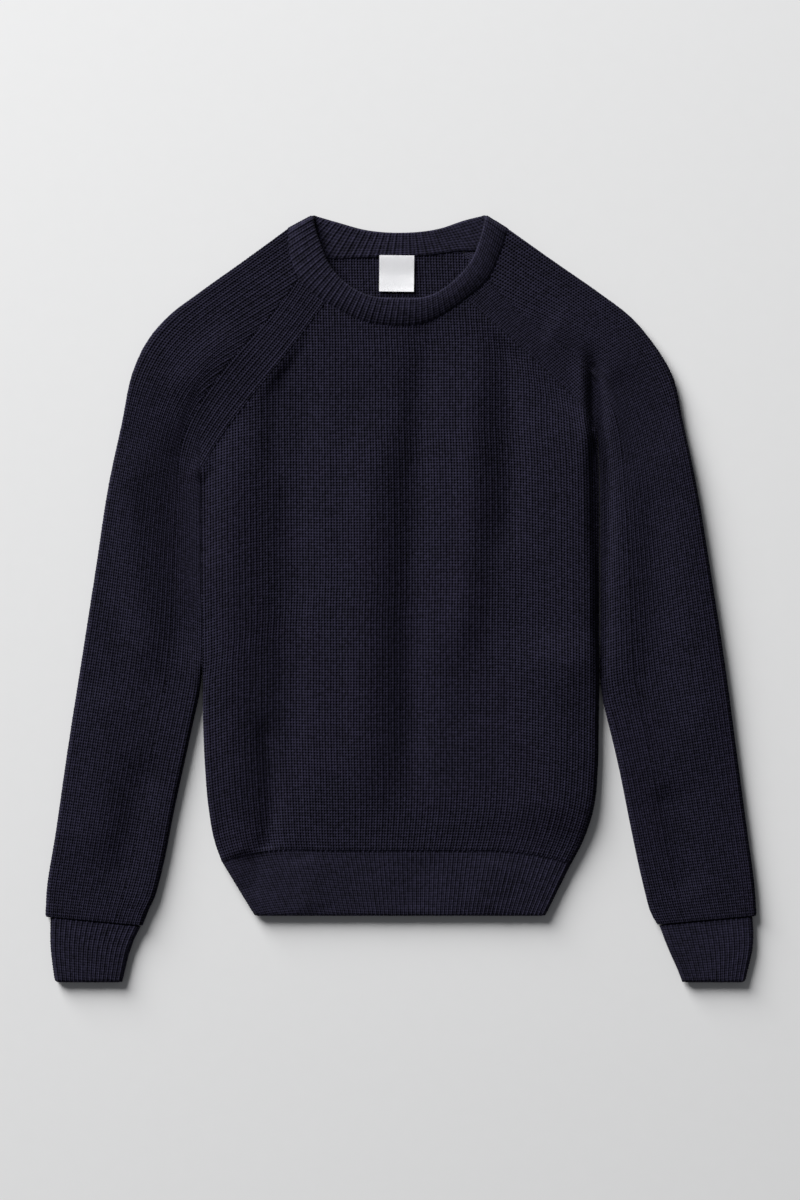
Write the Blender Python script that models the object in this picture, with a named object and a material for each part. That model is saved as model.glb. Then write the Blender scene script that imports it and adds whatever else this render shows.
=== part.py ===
"""Crew-neck raglan pullover in a heavy ribbed knit, lying flat on its back.

Frame: the garment lies in the XY plane with its neck towards +Y and its front
up. Left and right are as seen from above. The origin is under the middle of
the garment, on the surface that it lies on. Tables are in millimetres.
"""

import math

import bmesh
import bpy
import numpy as np

MM = 0.001

# Cloth walls, without their ribs
FRONT_WALL = 3.6
BACK_WALL = 3.4
HEM_WALL = 3.2
CUFF_WALL = 3.2
BAND_TOP_WALL = 5.2
BAND_BACK_WALL = 4.8
LABEL_WALL = 0.8

# Levels: the upper layer of cloth stays above PARTING, the lower one below it
PARTING = 3.6
BAND_PARTING = 5.7
SEAM_GAP = 0.5
# Extra room of a sleeve at its raglan seam, and how much wider it is at the neckband
CHORD_ROOM = 0.3
NECK_ROOM = 1.9
MIN_AIR = 0.4
MEAN_AIR = 3.3
MAX_AIR = 6.4
HEM_AIR = 1.6
CUFF_AIR = 1.4
BAND_TOP = 13.1
BAND_CROWN = 0.9
BAND_BACK_GAP = 0.1
LABEL_LIFT = 0.3

# Ribs: how many lie across each upper layer, and how far they are raised
BODY_RIBS = 70
SLEEVE_RIBS = 25
HEM_RIBS = 75
CUFF_RIBS = 18
BAND_FRONT_RIBS = 51
BAND_BACK_RIBS = 30
BODY_RELIEF = 1.2
HEM_RELIEF = 1.0
BAND_RELIEF = 1.3

# How the cloth turns at a folded edge, and how slowly that starts at an armpit
FOLD_RADIUS = 4.8
VALLEY_RADIUS = 7.5
HEM_RADIUS = 4.2
BAND_RADIUS = 5.5
ARMPIT_EASE = 42.0

LEFT, RIGHT = 0, 1

# Side edges of the body, armpit to hem seam: x of the edge at height y
BODY_SIDE = (
    ((-200.0, 127.5), (-199.4, 60.0), (-198.7, -5.0), (-198.0, -69.5), (-198.0, -106.5),
     (-196.0, -166.5), (-192.0, -211.5), (-186.5, -241.5), (-179.0, -262.5)),
    ((189.0, 173.5), (191.2, 118.5), (192.4, 38.5), (194.2, -41.5), (197.0, -96.5),
     (197.5, -126.5), (196.8, -166.5), (192.0, -211.5), (182.0, -241.5), (170.0, -264.5)),
)

# Seam between body and hem, left to right
HEM_SEAM = ((-179.0, -262.5), (-160.0, -256.5), (-136.0, -252.0), (-60.0, -251.0), (0.0, -251.0),
            (60.0, -251.0), (109.0, -252.0), (145.0, -257.5), (170.0, -264.5))
HEM_EDGE = ((-146.0, -316.5), (144.0, -316.5))

# Raglan seams, armpit to neckband, on the front and on the back
RAGLAN_FRONT = (
    ((-200.0, 127.5), (-181.5, 158.5), (-154.0, 195.5), (-114.0, 244.5), (-76.0, 294.5)),
    ((189.0, 173.5), (175.5, 194.5), (150.0, 221.5), (119.0, 250.5), (65.0, 297.5)),
)
RAGLAN_BACK = (
    ((-200.0, 127.5), (-178.0, 172.0), (-150.0, 215.0), (-112.0, 280.0), (-76.0, 339.5)),
    ((189.0, 173.5), (172.0, 205.0), (148.0, 238.0), (106.0, 290.0), (60.0, 346.5)),
)

# Neckband, left fold to right fold: its sewn edge and its free edge
BAND_FRONT_SEAM = ((-114.0, 369.5), (-111.0, 340.5), (-103.0, 319.5), (-92.0, 306.5), (-76.0, 294.5),
                   (-56.0, 283.5), (-34.0, 274.5), (-4.0, 271.0), (25.0, 274.5), (46.0, 284.5),
                   (65.0, 297.5), (89.0, 319.5), (99.0, 341.5), (108.0, 369.0))
BAND_FRONT_EDGE = ((-88.0, 383.0), (-85.0, 368.5), (-79.5, 352.5), (-71.0, 332.5), (-55.0, 314.5),
                   (-36.0, 303.5), (-4.0, 299.5), (30.0, 302.5), (52.0, 316.5), (70.0, 337.5),
                   (79.0, 360.0), (84.5, 383.0))
BAND_BACK_SEAM = ((-114.0, 369.5), (-97.0, 347.0), (-76.0, 339.5), (-40.0, 339.8), (-4.0, 340.5),
                  (30.0, 342.5), (60.0, 346.5), (78.0, 347.0), (93.0, 350.5), (108.0, 369.0))
BAND_BACK_EDGE = ((-88.0, 383.0), (-64.0, 376.0), (-34.0, 368.0), (0.0, 365.5), (38.0, 369.5),
                  (64.0, 378.0), (84.5, 383.0))

# Sleeves: outer fold from cuff seam to neckband, underarm from cuff seam to armpit
SLEEVE_FOLD = (
    ((-355.0, -317.5), (-353.5, -288.0), (-346.0, -241.5), (-333.0, -151.5), (-319.0, -61.5),
     (-305.0, 28.5), (-291.0, 118.5), (-278.0, 178.5), (-269.0, 223.5), (-256.0, 253.5),
     (-231.0, 283.5), (-204.0, 304.0), (-154.0, 340.0), (-114.0, 369.5)),
    ((355.0, -316.5), (353.0, -286.5), (347.0, -241.5), (335.0, -151.5), (323.0, -61.5),
     (309.0, 28.5), (294.0, 118.5), (281.0, 178.5), (271.0, 223.5), (253.0, 253.5),
     (227.0, 283.5), (202.0, 302.5), (150.0, 339.0), (108.0, 369.0)),
)
UNDERARM = (
    ((-258.0, -326.5), (-254.0, -314.5), (-247.0, -301.5), (-238.5, -271.5), (-226.5, -211.5),
     (-213.5, -151.5), (-207.0, -121.5), (-200.8, -91.5), (-199.0, -69.5), (-200.0, 30.0),
     (-200.6, 127.5)),
    ((256.0, -325.5), (250.5, -316.5), (242.0, -286.5), (229.0, -226.5), (217.0, -166.5),
     (210.0, -136.5), (202.5, -106.5), (198.4, -90.0), (195.4, -41.5), (193.4, 38.5),
     (192.0, 118.5), (189.6, 173.5)),
)
# Height where the sleeve's cross rows reach the armpit, on its outer fold
SHOULDER_ROW = (196.0, 222.0)
# Where a panel's columns give way from the neckband to the raglan seam
FRONT_NECK_SHARE = 0.56
BACK_NECK_SHARE = 0.40

# Cuffs: outer edge and underarm edge, from the sleeve to the free end
CUFF_FOLD = (((-350.0, -318.4), (-350.0, -346.5), (-346.5, -376.0), (-345.5, -383.0)),
             ((351.0, -317.4), (351.5, -346.5), (345.0, -376.0), (343.5, -383.0)))
CUFF_UNDERARM = (((-260.0, -327.2), (-269.0, -346.5), (-276.5, -375.0), (-278.5, -383.0)),
                 ((258.0, -326.2), (265.5, -346.5), (278.5, -376.0), (281.0, -383.0)))

# Label on the inside of the back: left, right, lower and upper edge
LABEL_BOX = (-21.7, 13.0, 306.3, 339.4)

# Soft ridges (raised) and troughs (sunk) of the upper layer: a line through
# three points (upper, middle, lower), its half width and its height
FOLDS = (
    # piece, upper x, y, middle x, y, lower x, y, half width, height
    ("front", -150, 190, -158, 20, -160, -245, 24, 2.6),
    ("front", -96, 268, -112, 60, -116, -250, 19, -2.8),
    ("front", -22, 215, -33, 0, -34, -240, 26, 2.6),
    ("front", 24, 240, 10, 10, 12, -230, 17, -2.6),
    ("front", 72, 275, 72, 90, 56, -80, 18, 2.4),
    ("front", 103, 265, 109, 110, 100, -30, 16, -2.0),
    ("front", 140, 225, 160, 10, 150, -225, 33, 2.6),
    ("front", 60, -120, 75, -180, 80, -240, 26, 1.4),
    ("front", -190, 150, -196, 90, -198, 20, 12, -1.2),
    ("sleeve_left", -262, 170, -262, 40, -235, -90, 20, 2.4),
    ("sleeve_left", -206, 190, -206, 50, -203, -80, 22, -2.9),
    ("sleeve_left", -150, 262, -190, 235, -232, 190, 22, 1.4),
    ("sleeve_left", -292, -80, -300, -170, -306, -270, 26, 1.4),
    ("sleeve_left", -250, -150, -268, -220, -282, -300, 16, -1.4),
    ("sleeve_right", 228, 140, 230, 20, 226, -100, 17, 1.3),
    ("sleeve_right", 264, 130, 256, 0, 250, -120, 18, -1.3),
    ("sleeve_right", 290, 60, 296, -60, 312, -200, 20, 1.6),
    ("sleeve_right", 190, 226, 194, 198, 196, 150, 11, -2.9),
    ("sleeve_right", 140, 275, 180, 255, 222, 210, 22, 1.4),
    ("sleeve_right", 262, -180, 275, -240, 290, -300, 18, -1.4),
    ("hem_front", -100, -256, -94, -285, -88, -314, 18, 0.8),
    ("hem_front", 20, -256, 18, -285, 14, -314, 20, -0.6),
    ("hem_front", 96, -256, 88, -285, 80, -314, 20, 0.8),
)

# Share of a ridge's or trough's length over which it dies away at each end
FOLD_TAPER = 0.2

# Share of the way along a panel for each cross row
BODY_ROWS = (0.0, 0.035, 0.085, 0.15, 0.24, 0.36, 0.49, 0.62, 0.75, 0.88, 1.0)
BACK_ROWS = (0.0, 0.04, 0.10, 0.20, 0.40, 0.62, 0.84, 1.0)
HEM_ROWS = (0.0, 0.5, 0.96, 1.0)
CUFF_ROWS = (0.0, 0.35, 0.65, 0.96, 1.0)
BAND_ROWS = (0.0, 0.2, 0.5, 0.8, 1.0)
SLEEVE_LOW_ROWS = (0.0, 0.035, 0.12, 0.25, 0.40, 0.55, 0.70, 0.84)
SLEEVE_HIGH_ROWS = 12
# Columns of the plain lower layers, and plan points that measure a row's width
BACK_COLUMNS = 60
HEM_BACK_COLUMNS = 24
ROW_SAMPLES = 65
# Steps of a sleeve column's path, their spacing once it is softened, the reach of
# that softening, and the share of the raglan that runs on to the armpit
PATH_STEPS = 40
PATH_SPACING = 6.0
COLUMN_SOFTNESS = 34.0
ARMPIT_SHARE = 0.1
# How much lower the last row of a free edge lies
FREE_EDGE_DROP = 1.0
# Columns of a tube's lower layer, as shares of its width from the outer fold
UNDER_SHARES = (0.02, 0.042, 0.065, 0.15, 0.24, 0.32, 0.40, 0.50, 0.60, 0.70, 0.79, 0.87, 0.935,
                0.967, 1.0)
# Back of the neckband: columns beside each fold that are all kept, and the share
# of the full height from which its ribs fade out towards the folds
BAND_FOLD_COLUMNS = 7
BAND_FADE_START = 0.8

COLOURS = {
    "body": (0.0085, 0.0080, 0.0135),
    "rib": (0.0120, 0.0110, 0.0190),
    "label": (0.80, 0.79, 0.77),
}
CLOTH_ROUGHNESS = 0.95
SHARP_ANGLE = 30.0


def smooth_curve(knots, steps=14):
    """Closely spaced points on a smooth curve through the knots."""
    knots = np.array(knots, float)
    if len(knots) == 2:
        shares = np.linspace(0.0, 1.0, steps + 1)[:, None]
        return knots[0] + shares * (knots[1] - knots[0])
    spans = np.linalg.norm(np.diff(knots, axis=0), axis=1)
    slopes = np.diff(knots, axis=0) / spans[:, None]
    tangents = np.empty_like(knots)
    before, after = spans[:-1, None], spans[1:, None]
    tangents[1:-1] = (slopes[:-1] * after + slopes[1:] * before) / (before + after)
    tangents[0] = 1.5 * slopes[0] - 0.5 * tangents[1]
    tangents[-1] = 1.5 * slopes[-1] - 0.5 * tangents[-2]
    points = []
    for i, span in enumerate(spans):
        u = np.linspace(0.0, 1.0, steps, endpoint=False)[:, None]
        points.append((2 * u**3 - 3 * u**2 + 1) * knots[i] + (u**3 - 2 * u**2 + u) * span * tangents[i]
                      + (3 * u**2 - 2 * u**3) * knots[i + 1] + (u**3 - u**2) * span * tangents[i + 1])
    points.append(knots[-1:])
    return np.vstack(points)


def lengths_along(curve):
    steps = np.linalg.norm(np.diff(curve, axis=0), axis=1)
    return np.concatenate([[0.0], np.cumsum(steps)])


def point_at(curve, share):
    """The point a share of the way along a curve."""
    run = lengths_along(curve)
    place = np.asarray(share, float) * run[-1]
    return np.stack([np.interp(place, run, curve[:, axis]) for axis in (0, 1)], axis=-1)


def moved_aside(curve, amount):
    """A curve moved to the right of its own direction."""
    run = np.gradient(curve, axis=0)
    run /= np.linalg.norm(run, axis=1)[:, None]
    return curve + amount * np.column_stack([run[:, 1], -run[:, 0]])


def softened(path, reach, amount):
    """A path with its bends rounded over a distance; its ends stay in place."""
    run = lengths_along(path)
    places = np.linspace(0.0, run[-1], max(12, int(run[-1] / PATH_SPACING)))
    even = np.stack([np.interp(places, run, path[:, axis]) for axis in (0, 1)], axis=-1)
    gaps = places[:, None] - places
    room = np.minimum(places, run[-1] - places)
    width = np.maximum(np.minimum(reach, 0.5 * room), 1e-3)[:, None]
    weights = np.exp(-0.5 * (gaps / width) ** 2)
    weights /= weights.sum(axis=1)[:, None]
    return even + amount * (weights @ even - even)


def share_at_height(curve, y):
    """Share of the way along a rising curve where it passes a height."""
    run = lengths_along(curve)
    return float(np.interp(y, curve[:, 1], run / run[-1]))


def ease(value):
    value = np.clip(value, 0.0, 1.0)
    return value * value * (3.0 - 2.0 * value)


def fold_height(piece, points):
    """Height of the soft ridges and troughs at plan points."""
    height = np.zeros(points.shape[:-1])
    for name, x0, y0, x1, y1, x2, y2, half_width, rise in FOLDS:
        if name != piece:
            continue
        line = smooth_curve(((x0, y0), (x1, y1), (x2, y2)), 12)
        gaps = np.linalg.norm(points[..., None, :] - line, axis=-1)
        nearest = gaps.argmin(axis=-1) / (len(line) - 1)
        taper = ease(nearest / FOLD_TAPER) * ease((1.0 - nearest) / FOLD_TAPER)
        height += rise * taper * np.exp(-(gaps.min(axis=-1) / half_width) ** 2)
    return height


def upper_level(piece, points, wall, mean_air):
    """Height of the upper layer's outer face, clear of the layer below it."""
    air = np.clip(mean_air + fold_height(piece, points), MIN_AIR, MAX_AIR)
    return PARTING + air + wall


def edge_turn(distance, radius, turn):
    """How cloth turns over at an edge, from the distance along the cloth to it.

    Gives the plan length lost, the lean of the outer face towards the edge
    and the share of the full height reached. turn is 1 at a folded edge and 0
    where the wall ends square.
    """
    quarter = 0.5 * math.pi * radius
    angle = np.clip(distance, 0.0, quarter) / radius
    kept = radius * (1.0 - np.cos(angle))
    lost = turn * (np.minimum(distance, quarter) - kept)
    return lost, turn * np.cos(angle), 1.0 - turn * (1.0 - np.sin(angle))


def lay_row(place, shares, near, far, near_out=None, far_out=None):
    """Lays one cross row of cloth between two edges.

    place gives the plan point at a share of the row's width. near and far are
    the radius and turn of the cloth at the row's two ends. Returns plan points,
    leans, rises and the rise at the far edge.
    """
    samples = place(np.linspace(0.0, 1.0, ROW_SAMPLES))
    width = lengths_along(samples)[-1]
    cloth = width + sum(turn * (0.5 * math.pi - 1.0) * radius for radius, turn in (near, far))
    distance = np.asarray(shares) * cloth
    near_lost, near_lean, near_rise = edge_turn(distance, *near)
    far_lost, far_lean, far_rise = edge_turn(cloth - distance, *far)
    far_total = far[1] * (0.5 * math.pi - 1.0) * far[0]
    plan = place(np.clip((distance - near_lost - far_total + far_lost) / width, 0.0, 1.0))
    if near_out is None:
        near_out = samples[0] - samples[1]
        near_out = near_out / np.linalg.norm(near_out)
    if far_out is None:
        far_out = samples[-1] - samples[-2]
        far_out = far_out / np.linalg.norm(far_out)
    lean = near_lean[:, None] * near_out + far_lean[:, None] * far_out
    return plan, lean, near_rise * far_rise, far_rise


def wall_points(plan, lean, rise, top, wall, relief, parting, slit, upper=True):
    """Outer and inner face points of one row of a wall.

    The upper layer rises from the parting level to top, the lower one goes
    down from it to the ground. slit opens the seam at a folded edge.
    """
    steep = np.sqrt(np.clip(1.0 - (lean**2).sum(axis=1), 0.0, 1.0))
    if upper:
        floor = parting + slit * (1.0 - rise)
        z = floor + (top - floor) * rise
        outer = np.column_stack([plan + lean * relief[:, None], z + steep * relief])
        inner_z = np.maximum(z - wall * steep, floor)
    else:
        ceiling = parting - slit * (1.0 - rise)
        z = ceiling * (1.0 - rise)
        outer = np.column_stack([plan, z])
        inner_z = np.minimum(z + wall * steep, ceiling) + steep * relief
    inner = np.column_stack([plan - lean * wall, inner_z])
    return outer, inner


def rib_relief(count, height):
    """Raised and sunk columns in turn, two to a rib."""
    relief = np.full(2 * count + 1, -0.5 * height)
    relief[1::2] = 0.5 * height
    return relief


def every(count, step):
    """Indices from 0 to count, a step apart, with both ends."""
    picked = list(range(0, count, step))
    return picked + [count]


def stitch(chain_a, chain_b):
    """Triangles between two chains of (place along the edge, vertex)."""
    faces = []
    a = b = 0
    while a < len(chain_a) - 1 or b < len(chain_b) - 1:
        a_left, b_left = a < len(chain_a) - 1, b < len(chain_b) - 1
        if a_left and (not b_left or chain_a[a + 1][0] <= chain_b[b + 1][0]):
            faces.append((chain_a[a][1], chain_a[a + 1][1], chain_b[b][1]))
            a += 1
        else:
            faces.append((chain_a[a][1], chain_b[b + 1][1], chain_b[b][1]))
            b += 1
    return faces


def add_wall(name, material, outer, inner, outer_columns, inner_columns, ring=False):
    """One closed wall between two grids of points, row by row."""
    rows, columns = outer.shape[:2]
    vertices = []
    index = {}

    def vertex(face, row, column):
        column = column % columns if ring else column
        key = (face, row, column)
        if key not in index:
            index[key] = len(vertices)
            vertices.append((outer if face == "outer" else inner)[row, column] * MM)
        return index[key]

    faces = []
    for face, picked in (("outer", outer_columns), ("inner", inner_columns)):
        for row in range(rows - 1):
            for c0, c1 in zip(picked[:-1], picked[1:]):
                quad = [vertex(face, row, c0), vertex(face, row, c1),
                        vertex(face, row + 1, c1), vertex(face, row + 1, c0)]
                faces.append(quad if face == "outer" else quad[::-1])
    for row in (0, rows - 1):
        outer_chain = [(c, vertex("outer", row, c)) for c in outer_columns]
        inner_chain = [(c, vertex("inner", row, c)) for c in inner_columns]
        rim = stitch(outer_chain, inner_chain)
        faces += rim if row else [face[::-1] for face in rim]
    if not ring:
        for column, flip in ((0, False), (columns - 1, True)):
            for row in range(rows - 1):
                quad = [vertex("outer", row, column), vertex("outer", row + 1, column),
                        vertex("inner", row + 1, column), vertex("inner", row, column)]
                faces.append(quad[::-1] if flip else quad)
    add_object(name, material, vertices, faces)


def add_object(name, material, vertices, faces):
    mesh = bpy.data.meshes.new(name)
    mesh.from_pydata([tuple(v) for v in vertices], [], faces)
    shape = bmesh.new()
    shape.from_mesh(mesh)
    bmesh.ops.triangulate(shape, faces=shape.faces)
    bmesh.ops.recalc_face_normals(shape, faces=shape.faces)
    shape.to_mesh(mesh)
    shape.free()
    mesh.materials.append(material)
    mesh.shade_smooth()
    mesh.set_sharp_from_angle(angle=math.radians(SHARP_ANGLE))
    bpy.context.collection.objects.link(bpy.data.objects.new(name, mesh))


def cloth_material(name, colour):
    material = bpy.data.materials.new(name)
    material.use_nodes = True
    shader = material.node_tree.nodes["Principled BSDF"]
    shader.inputs["Base Color"].default_value = (*colour, 1.0)
    shader.inputs["Roughness"].default_value = CLOTH_ROUGHNESS
    shader.inputs["Metallic"].default_value = 0.0
    return material


def armpit_turn(points, side):
    """1 at a folded edge, easing to 0 at the armpit of that side."""
    armpit = np.array(BODY_SIDE[side][0])
    return float(ease(np.linalg.norm(points - armpit) / ARMPIT_EASE))


def body_plan(raglan, band_seam):
    """Plan of a body panel: a function of row share, giving the row's place.

    Returns that function, which also tells the turn at each side.
    """
    sides = [smooth_curve(BODY_SIDE[side])[::-1] for side in (LEFT, RIGHT)]
    hem = moved_aside(smooth_curve(HEM_SEAM), -0.5 * SEAM_GAP)
    left, right = smooth_curve(raglan[LEFT]), smooth_curve(raglan[RIGHT])
    band = smooth_curve(band_seam)
    inside = (band[:, 0] > left[-1, 0] + 0.5) & (band[:, 0] < right[-1, 0] - 0.5)
    top = moved_aside(np.vstack([left, band[inside], right[::-1]]), 0.5 * SEAM_GAP)

    def across(share, y):
        edges = [np.interp(y, side[:, 1], side[:, 0]) for side in sides]
        return edges[0] + share * (edges[1] - edges[0])

    def end_height(share, seam):
        y = np.full(np.shape(share), seam[:, 1].mean())
        for _ in range(12):
            y = np.interp(across(share, y), seam[:, 0], seam[:, 1])
        return y

    def row(along):
        def place(share):
            share = np.asarray(share, float)
            low = end_height(share, hem)
            high = end_height(share, top)
            y = low + along * (high - low)
            return np.stack([across(share, y), y], axis=-1)
        ends = place(np.array([0.0, 1.0]))
        return place, armpit_turn(ends[0], LEFT), armpit_turn(ends[1], RIGHT)

    return row


def make_front(material):
    plan_row = body_plan(RAGLAN_FRONT, BAND_FRONT_SEAM)
    columns = 2 * BODY_RIBS
    shares = np.linspace(0.0, 1.0, columns + 1)
    relief = rib_relief(BODY_RIBS, BODY_RELIEF)
    rows = []
    for along in BODY_ROWS:
        place, turn_left, turn_right = plan_row(along)
        plan, lean, rise, _ = lay_row(place, shares, (FOLD_RADIUS, turn_left), (VALLEY_RADIUS, turn_right))
        top = upper_level("front", plan, FRONT_WALL, MEAN_AIR)
        rows.append(wall_points(plan, lean, rise, top, FRONT_WALL, relief, PARTING, 0.5 * SEAM_GAP))
    outer, inner = (np.array(grid) for grid in zip(*rows))
    add_wall("front", material, outer, inner, list(range(columns + 1)), every(columns, 3))


def make_back(material):
    plan_row = body_plan(RAGLAN_BACK, BAND_BACK_SEAM)
    shares = np.linspace(0.0, 1.0, BACK_COLUMNS + 1)
    rows = []
    for along in BACK_ROWS:
        place, turn_left, turn_right = plan_row(along)
        plan, lean, rise, _ = lay_row(place, shares, (FOLD_RADIUS, turn_left), (VALLEY_RADIUS, turn_right))
        rows.append(wall_points(plan, lean, rise, None, BACK_WALL, np.zeros(len(shares)), PARTING,
                                0.5 * SEAM_GAP, upper=False))
    outer, inner = (np.array(grid) for grid in zip(*rows))
    picked = every(BACK_COLUMNS, 2)
    add_wall("back", material, outer, inner, picked, picked)


def make_hem(name, material, upper):
    seam = moved_aside(smooth_curve(HEM_SEAM), 0.5 * SEAM_GAP)
    free = np.array(HEM_EDGE)
    columns = 2 * HEM_RIBS if upper else HEM_BACK_COLUMNS
    shares = np.linspace(0.0, 1.0, columns + 1)
    relief = rib_relief(HEM_RIBS, HEM_RELIEF) if upper else np.zeros(columns + 1)
    rows = []
    for along in HEM_ROWS:
        def place(share, along=along):
            x = seam[0, 0] + np.asarray(share, float) * (seam[-1, 0] - seam[0, 0])
            top = np.stack([x, np.interp(x, seam[:, 0], seam[:, 1])], axis=-1)
            bottom = free[0] + np.asarray(share, float)[..., None] * (free[1] - free[0])
            return top + along * (bottom - top)
        edge = (HEM_RADIUS, 1.0)
        plan, lean, rise, _ = lay_row(place, shares, edge, edge)
        level = None
        if upper:
            drop = FREE_EDGE_DROP if along == HEM_ROWS[-1] else 0.0
            level = upper_level(name, plan, HEM_WALL, HEM_AIR) - drop
        rows.append(wall_points(plan, lean, rise, level, HEM_WALL, relief, PARTING, 0.5 * SEAM_GAP, upper))
    outer, inner = (np.array(grid) for grid in zip(*rows))
    add_wall(name, material, outer, inner, list(range(columns + 1)), every(columns, 10 if upper else 2))


def tube_stations(ribs):
    """Cloth shares of a flattened tube's columns, from its seam over the top,
    round the outer fold and back underneath, with the layer of each."""
    top = [("top", 1.0 - k / (2 * ribs)) for k in range(2 * ribs + 1)]
    under = [("under", share) for share in UNDER_SHARES]
    return top + under


def make_tube(name, material, ribs, wall, relief_height, rows, near, mean_air, inner_step):
    """A flattened tube or sleeve from rows of (top place, under place, far edge, drop)."""
    stations = tube_stations(ribs)
    top_shares = np.array([share for layer, share in stations if layer == "top"])
    under_shares = np.array([share for layer, share in stations if layer == "under"])
    relief = rib_relief(ribs, relief_height)
    relief[-1] = 0.0
    grids = []
    for top_place, under_place, far, drop in rows:
        plan, lean, rise, far_rise = lay_row(top_place, top_shares, near, far)
        level = upper_level(name, plan, wall, mean_air) - drop
        top_rows = wall_points(plan, lean, rise, level, wall, relief, PARTING, 0.0)
        lift = 0.5 * SEAM_GAP * (1.0 - far_rise)
        top_rows[0][:, 2] += lift
        top_rows[1][:, 2] += lift
        near_out = lean[-1]
        plan, lean, rise, far_rise = lay_row(under_place, under_shares, near, far, near_out=near_out)
        under_rows = wall_points(plan, lean, rise, None, BACK_WALL, np.zeros(len(under_shares)), PARTING,
                                 0.0, upper=False)
        sink = 0.5 * SEAM_GAP * (1.0 - far_rise)
        under_rows[0][:, 2] -= sink
        under_rows[1][:, 2] -= sink
        grids.append([np.vstack(pair) for pair in zip(top_rows, under_rows)])
    outer, inner = (np.array(grid) for grid in zip(*grids))
    top_count = 2 * ribs
    last = len(stations) - 1
    inner_columns = every(top_count, inner_step)[:-1]
    inner_columns = [c for c in inner_columns if c < top_count - 3]
    inner_columns += [top_count - 3, top_count - 2, top_count - 1] + list(range(top_count, last + 1))
    add_wall(name, material, outer, inner, list(range(last + 1)), inner_columns)


def sleeve_columns(side, raglan, band_seam, neck_share):
    """Plan of one layer of a sleeve.

    A column keeps its share of the sleeve's width from the cuff to the armpit
    row, and then runs on beside the outer fold to the neckband or the raglan
    seam. Returns a function of share and row number.
    """
    fold = smooth_curve(SLEEVE_FOLD[side])
    underarm = smooth_curve(UNDERARM[side])
    armpit_share = share_at_height(fold, SHOULDER_ROW[side])
    aside = (0.5 * SEAM_GAP + CHORD_ROOM) * (1.0 if side == LEFT else -1.0)
    band = smooth_curve(band_seam)
    if side == RIGHT:
        band = band[::-1]
    seam = smooth_curve(raglan[side])[::-1]
    neck_end = int(np.linalg.norm(band - seam[0], axis=1).argmin())
    neck_part = moved_aside(band, NECK_ROOM * aside)[:neck_end + 1]
    seam = moved_aside(seam, aside)
    armpit = underarm[-1]
    shoulder = point_at(fold, armpit_share)

    def column_end(share):
        if share <= neck_share:
            return point_at(neck_part, share / neck_share), 1.0
        below = (share - neck_share) / (1.0 - neck_share)
        end = point_at(seam, below)
        blend = ease((below - 1.0) / ARMPIT_SHARE + 1.0)
        return end * (1.0 - blend) + armpit * blend, 1.0 - below

    cache = {}

    def column(share):
        key = round(float(share), 6)
        if key in cache:
            return cache[key]
        steps = np.linspace(0.0, 1.0, PATH_STEPS)
        low = point_at(fold, steps * armpit_share) * (1.0 - share) + point_at(underarm, steps) * share
        end, reach = column_end(share)
        high_shares = armpit_share + steps * reach * (1.0 - armpit_share)
        high = point_at(fold, high_shares)
        start_offset = low[-1] - shoulder
        end_offset = end - high[-1]
        high = high + start_offset * (1.0 - steps[:, None]) + end_offset * steps[:, None]
        low_run = lengths_along(low)[-1]
        path = np.vstack([low, high[1:]]) if reach > 1e-6 else low
        path = softened(path, COLUMN_SOFTNESS, min(1.0, 6.0 * share * (1.0 - share)))
        run = lengths_along(path)
        turn_place = low_run * SLEEVE_LOW_ROWS[-1] / run[-1]
        marks = [s * low_run / run[-1] for s in SLEEVE_LOW_ROWS]
        marks += list(turn_place + (1.0 - turn_place) * np.arange(1, SLEEVE_HIGH_ROWS + 1) / SLEEVE_HIGH_ROWS)
        cache[key] = point_at(path, np.array(marks))
        return cache[key]

    def row(number):
        def place(share):
            return np.array([column(s)[number] for s in np.atleast_1d(share)])
        return place

    return row


def make_sleeve(name, material, side):
    upper = sleeve_columns(side, RAGLAN_FRONT, BAND_FRONT_SEAM, FRONT_NECK_SHARE)
    under = sleeve_columns(side, RAGLAN_BACK, BAND_BACK_SEAM, BACK_NECK_SHARE)
    radius = VALLEY_RADIUS if side == RIGHT else FOLD_RADIUS
    rows = []
    for number in range(len(SLEEVE_LOW_ROWS) + SLEEVE_HIGH_ROWS):
        inner_end = upper(number)([1.0])[0]
        far = (radius, armpit_turn(inner_end, side))
        rows.append((upper(number), under(number), far, FREE_EDGE_DROP if number == 0 else 0.0))
    make_tube(name, material, SLEEVE_RIBS, FRONT_WALL, BODY_RELIEF, rows, (FOLD_RADIUS, 1.0), MEAN_AIR, 3)


def make_cuff(name, material, side):
    fold = smooth_curve(CUFF_FOLD[side])
    underarm = smooth_curve(CUFF_UNDERARM[side])
    rows = []
    for along in CUFF_ROWS:
        ends = point_at(fold, along), point_at(underarm, along)

        def place(share, ends=ends):
            return ends[0] + np.asarray(share, float)[..., None] * (ends[1] - ends[0])
        drop = FREE_EDGE_DROP if along == CUFF_ROWS[-1] else 0.0
        rows.append((place, place, (HEM_RADIUS, 1.0), drop))
    make_tube(name, material, CUFF_RIBS, CUFF_WALL, HEM_RELIEF, rows, (HEM_RADIUS, 1.0), CUFF_AIR, 4)


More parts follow.
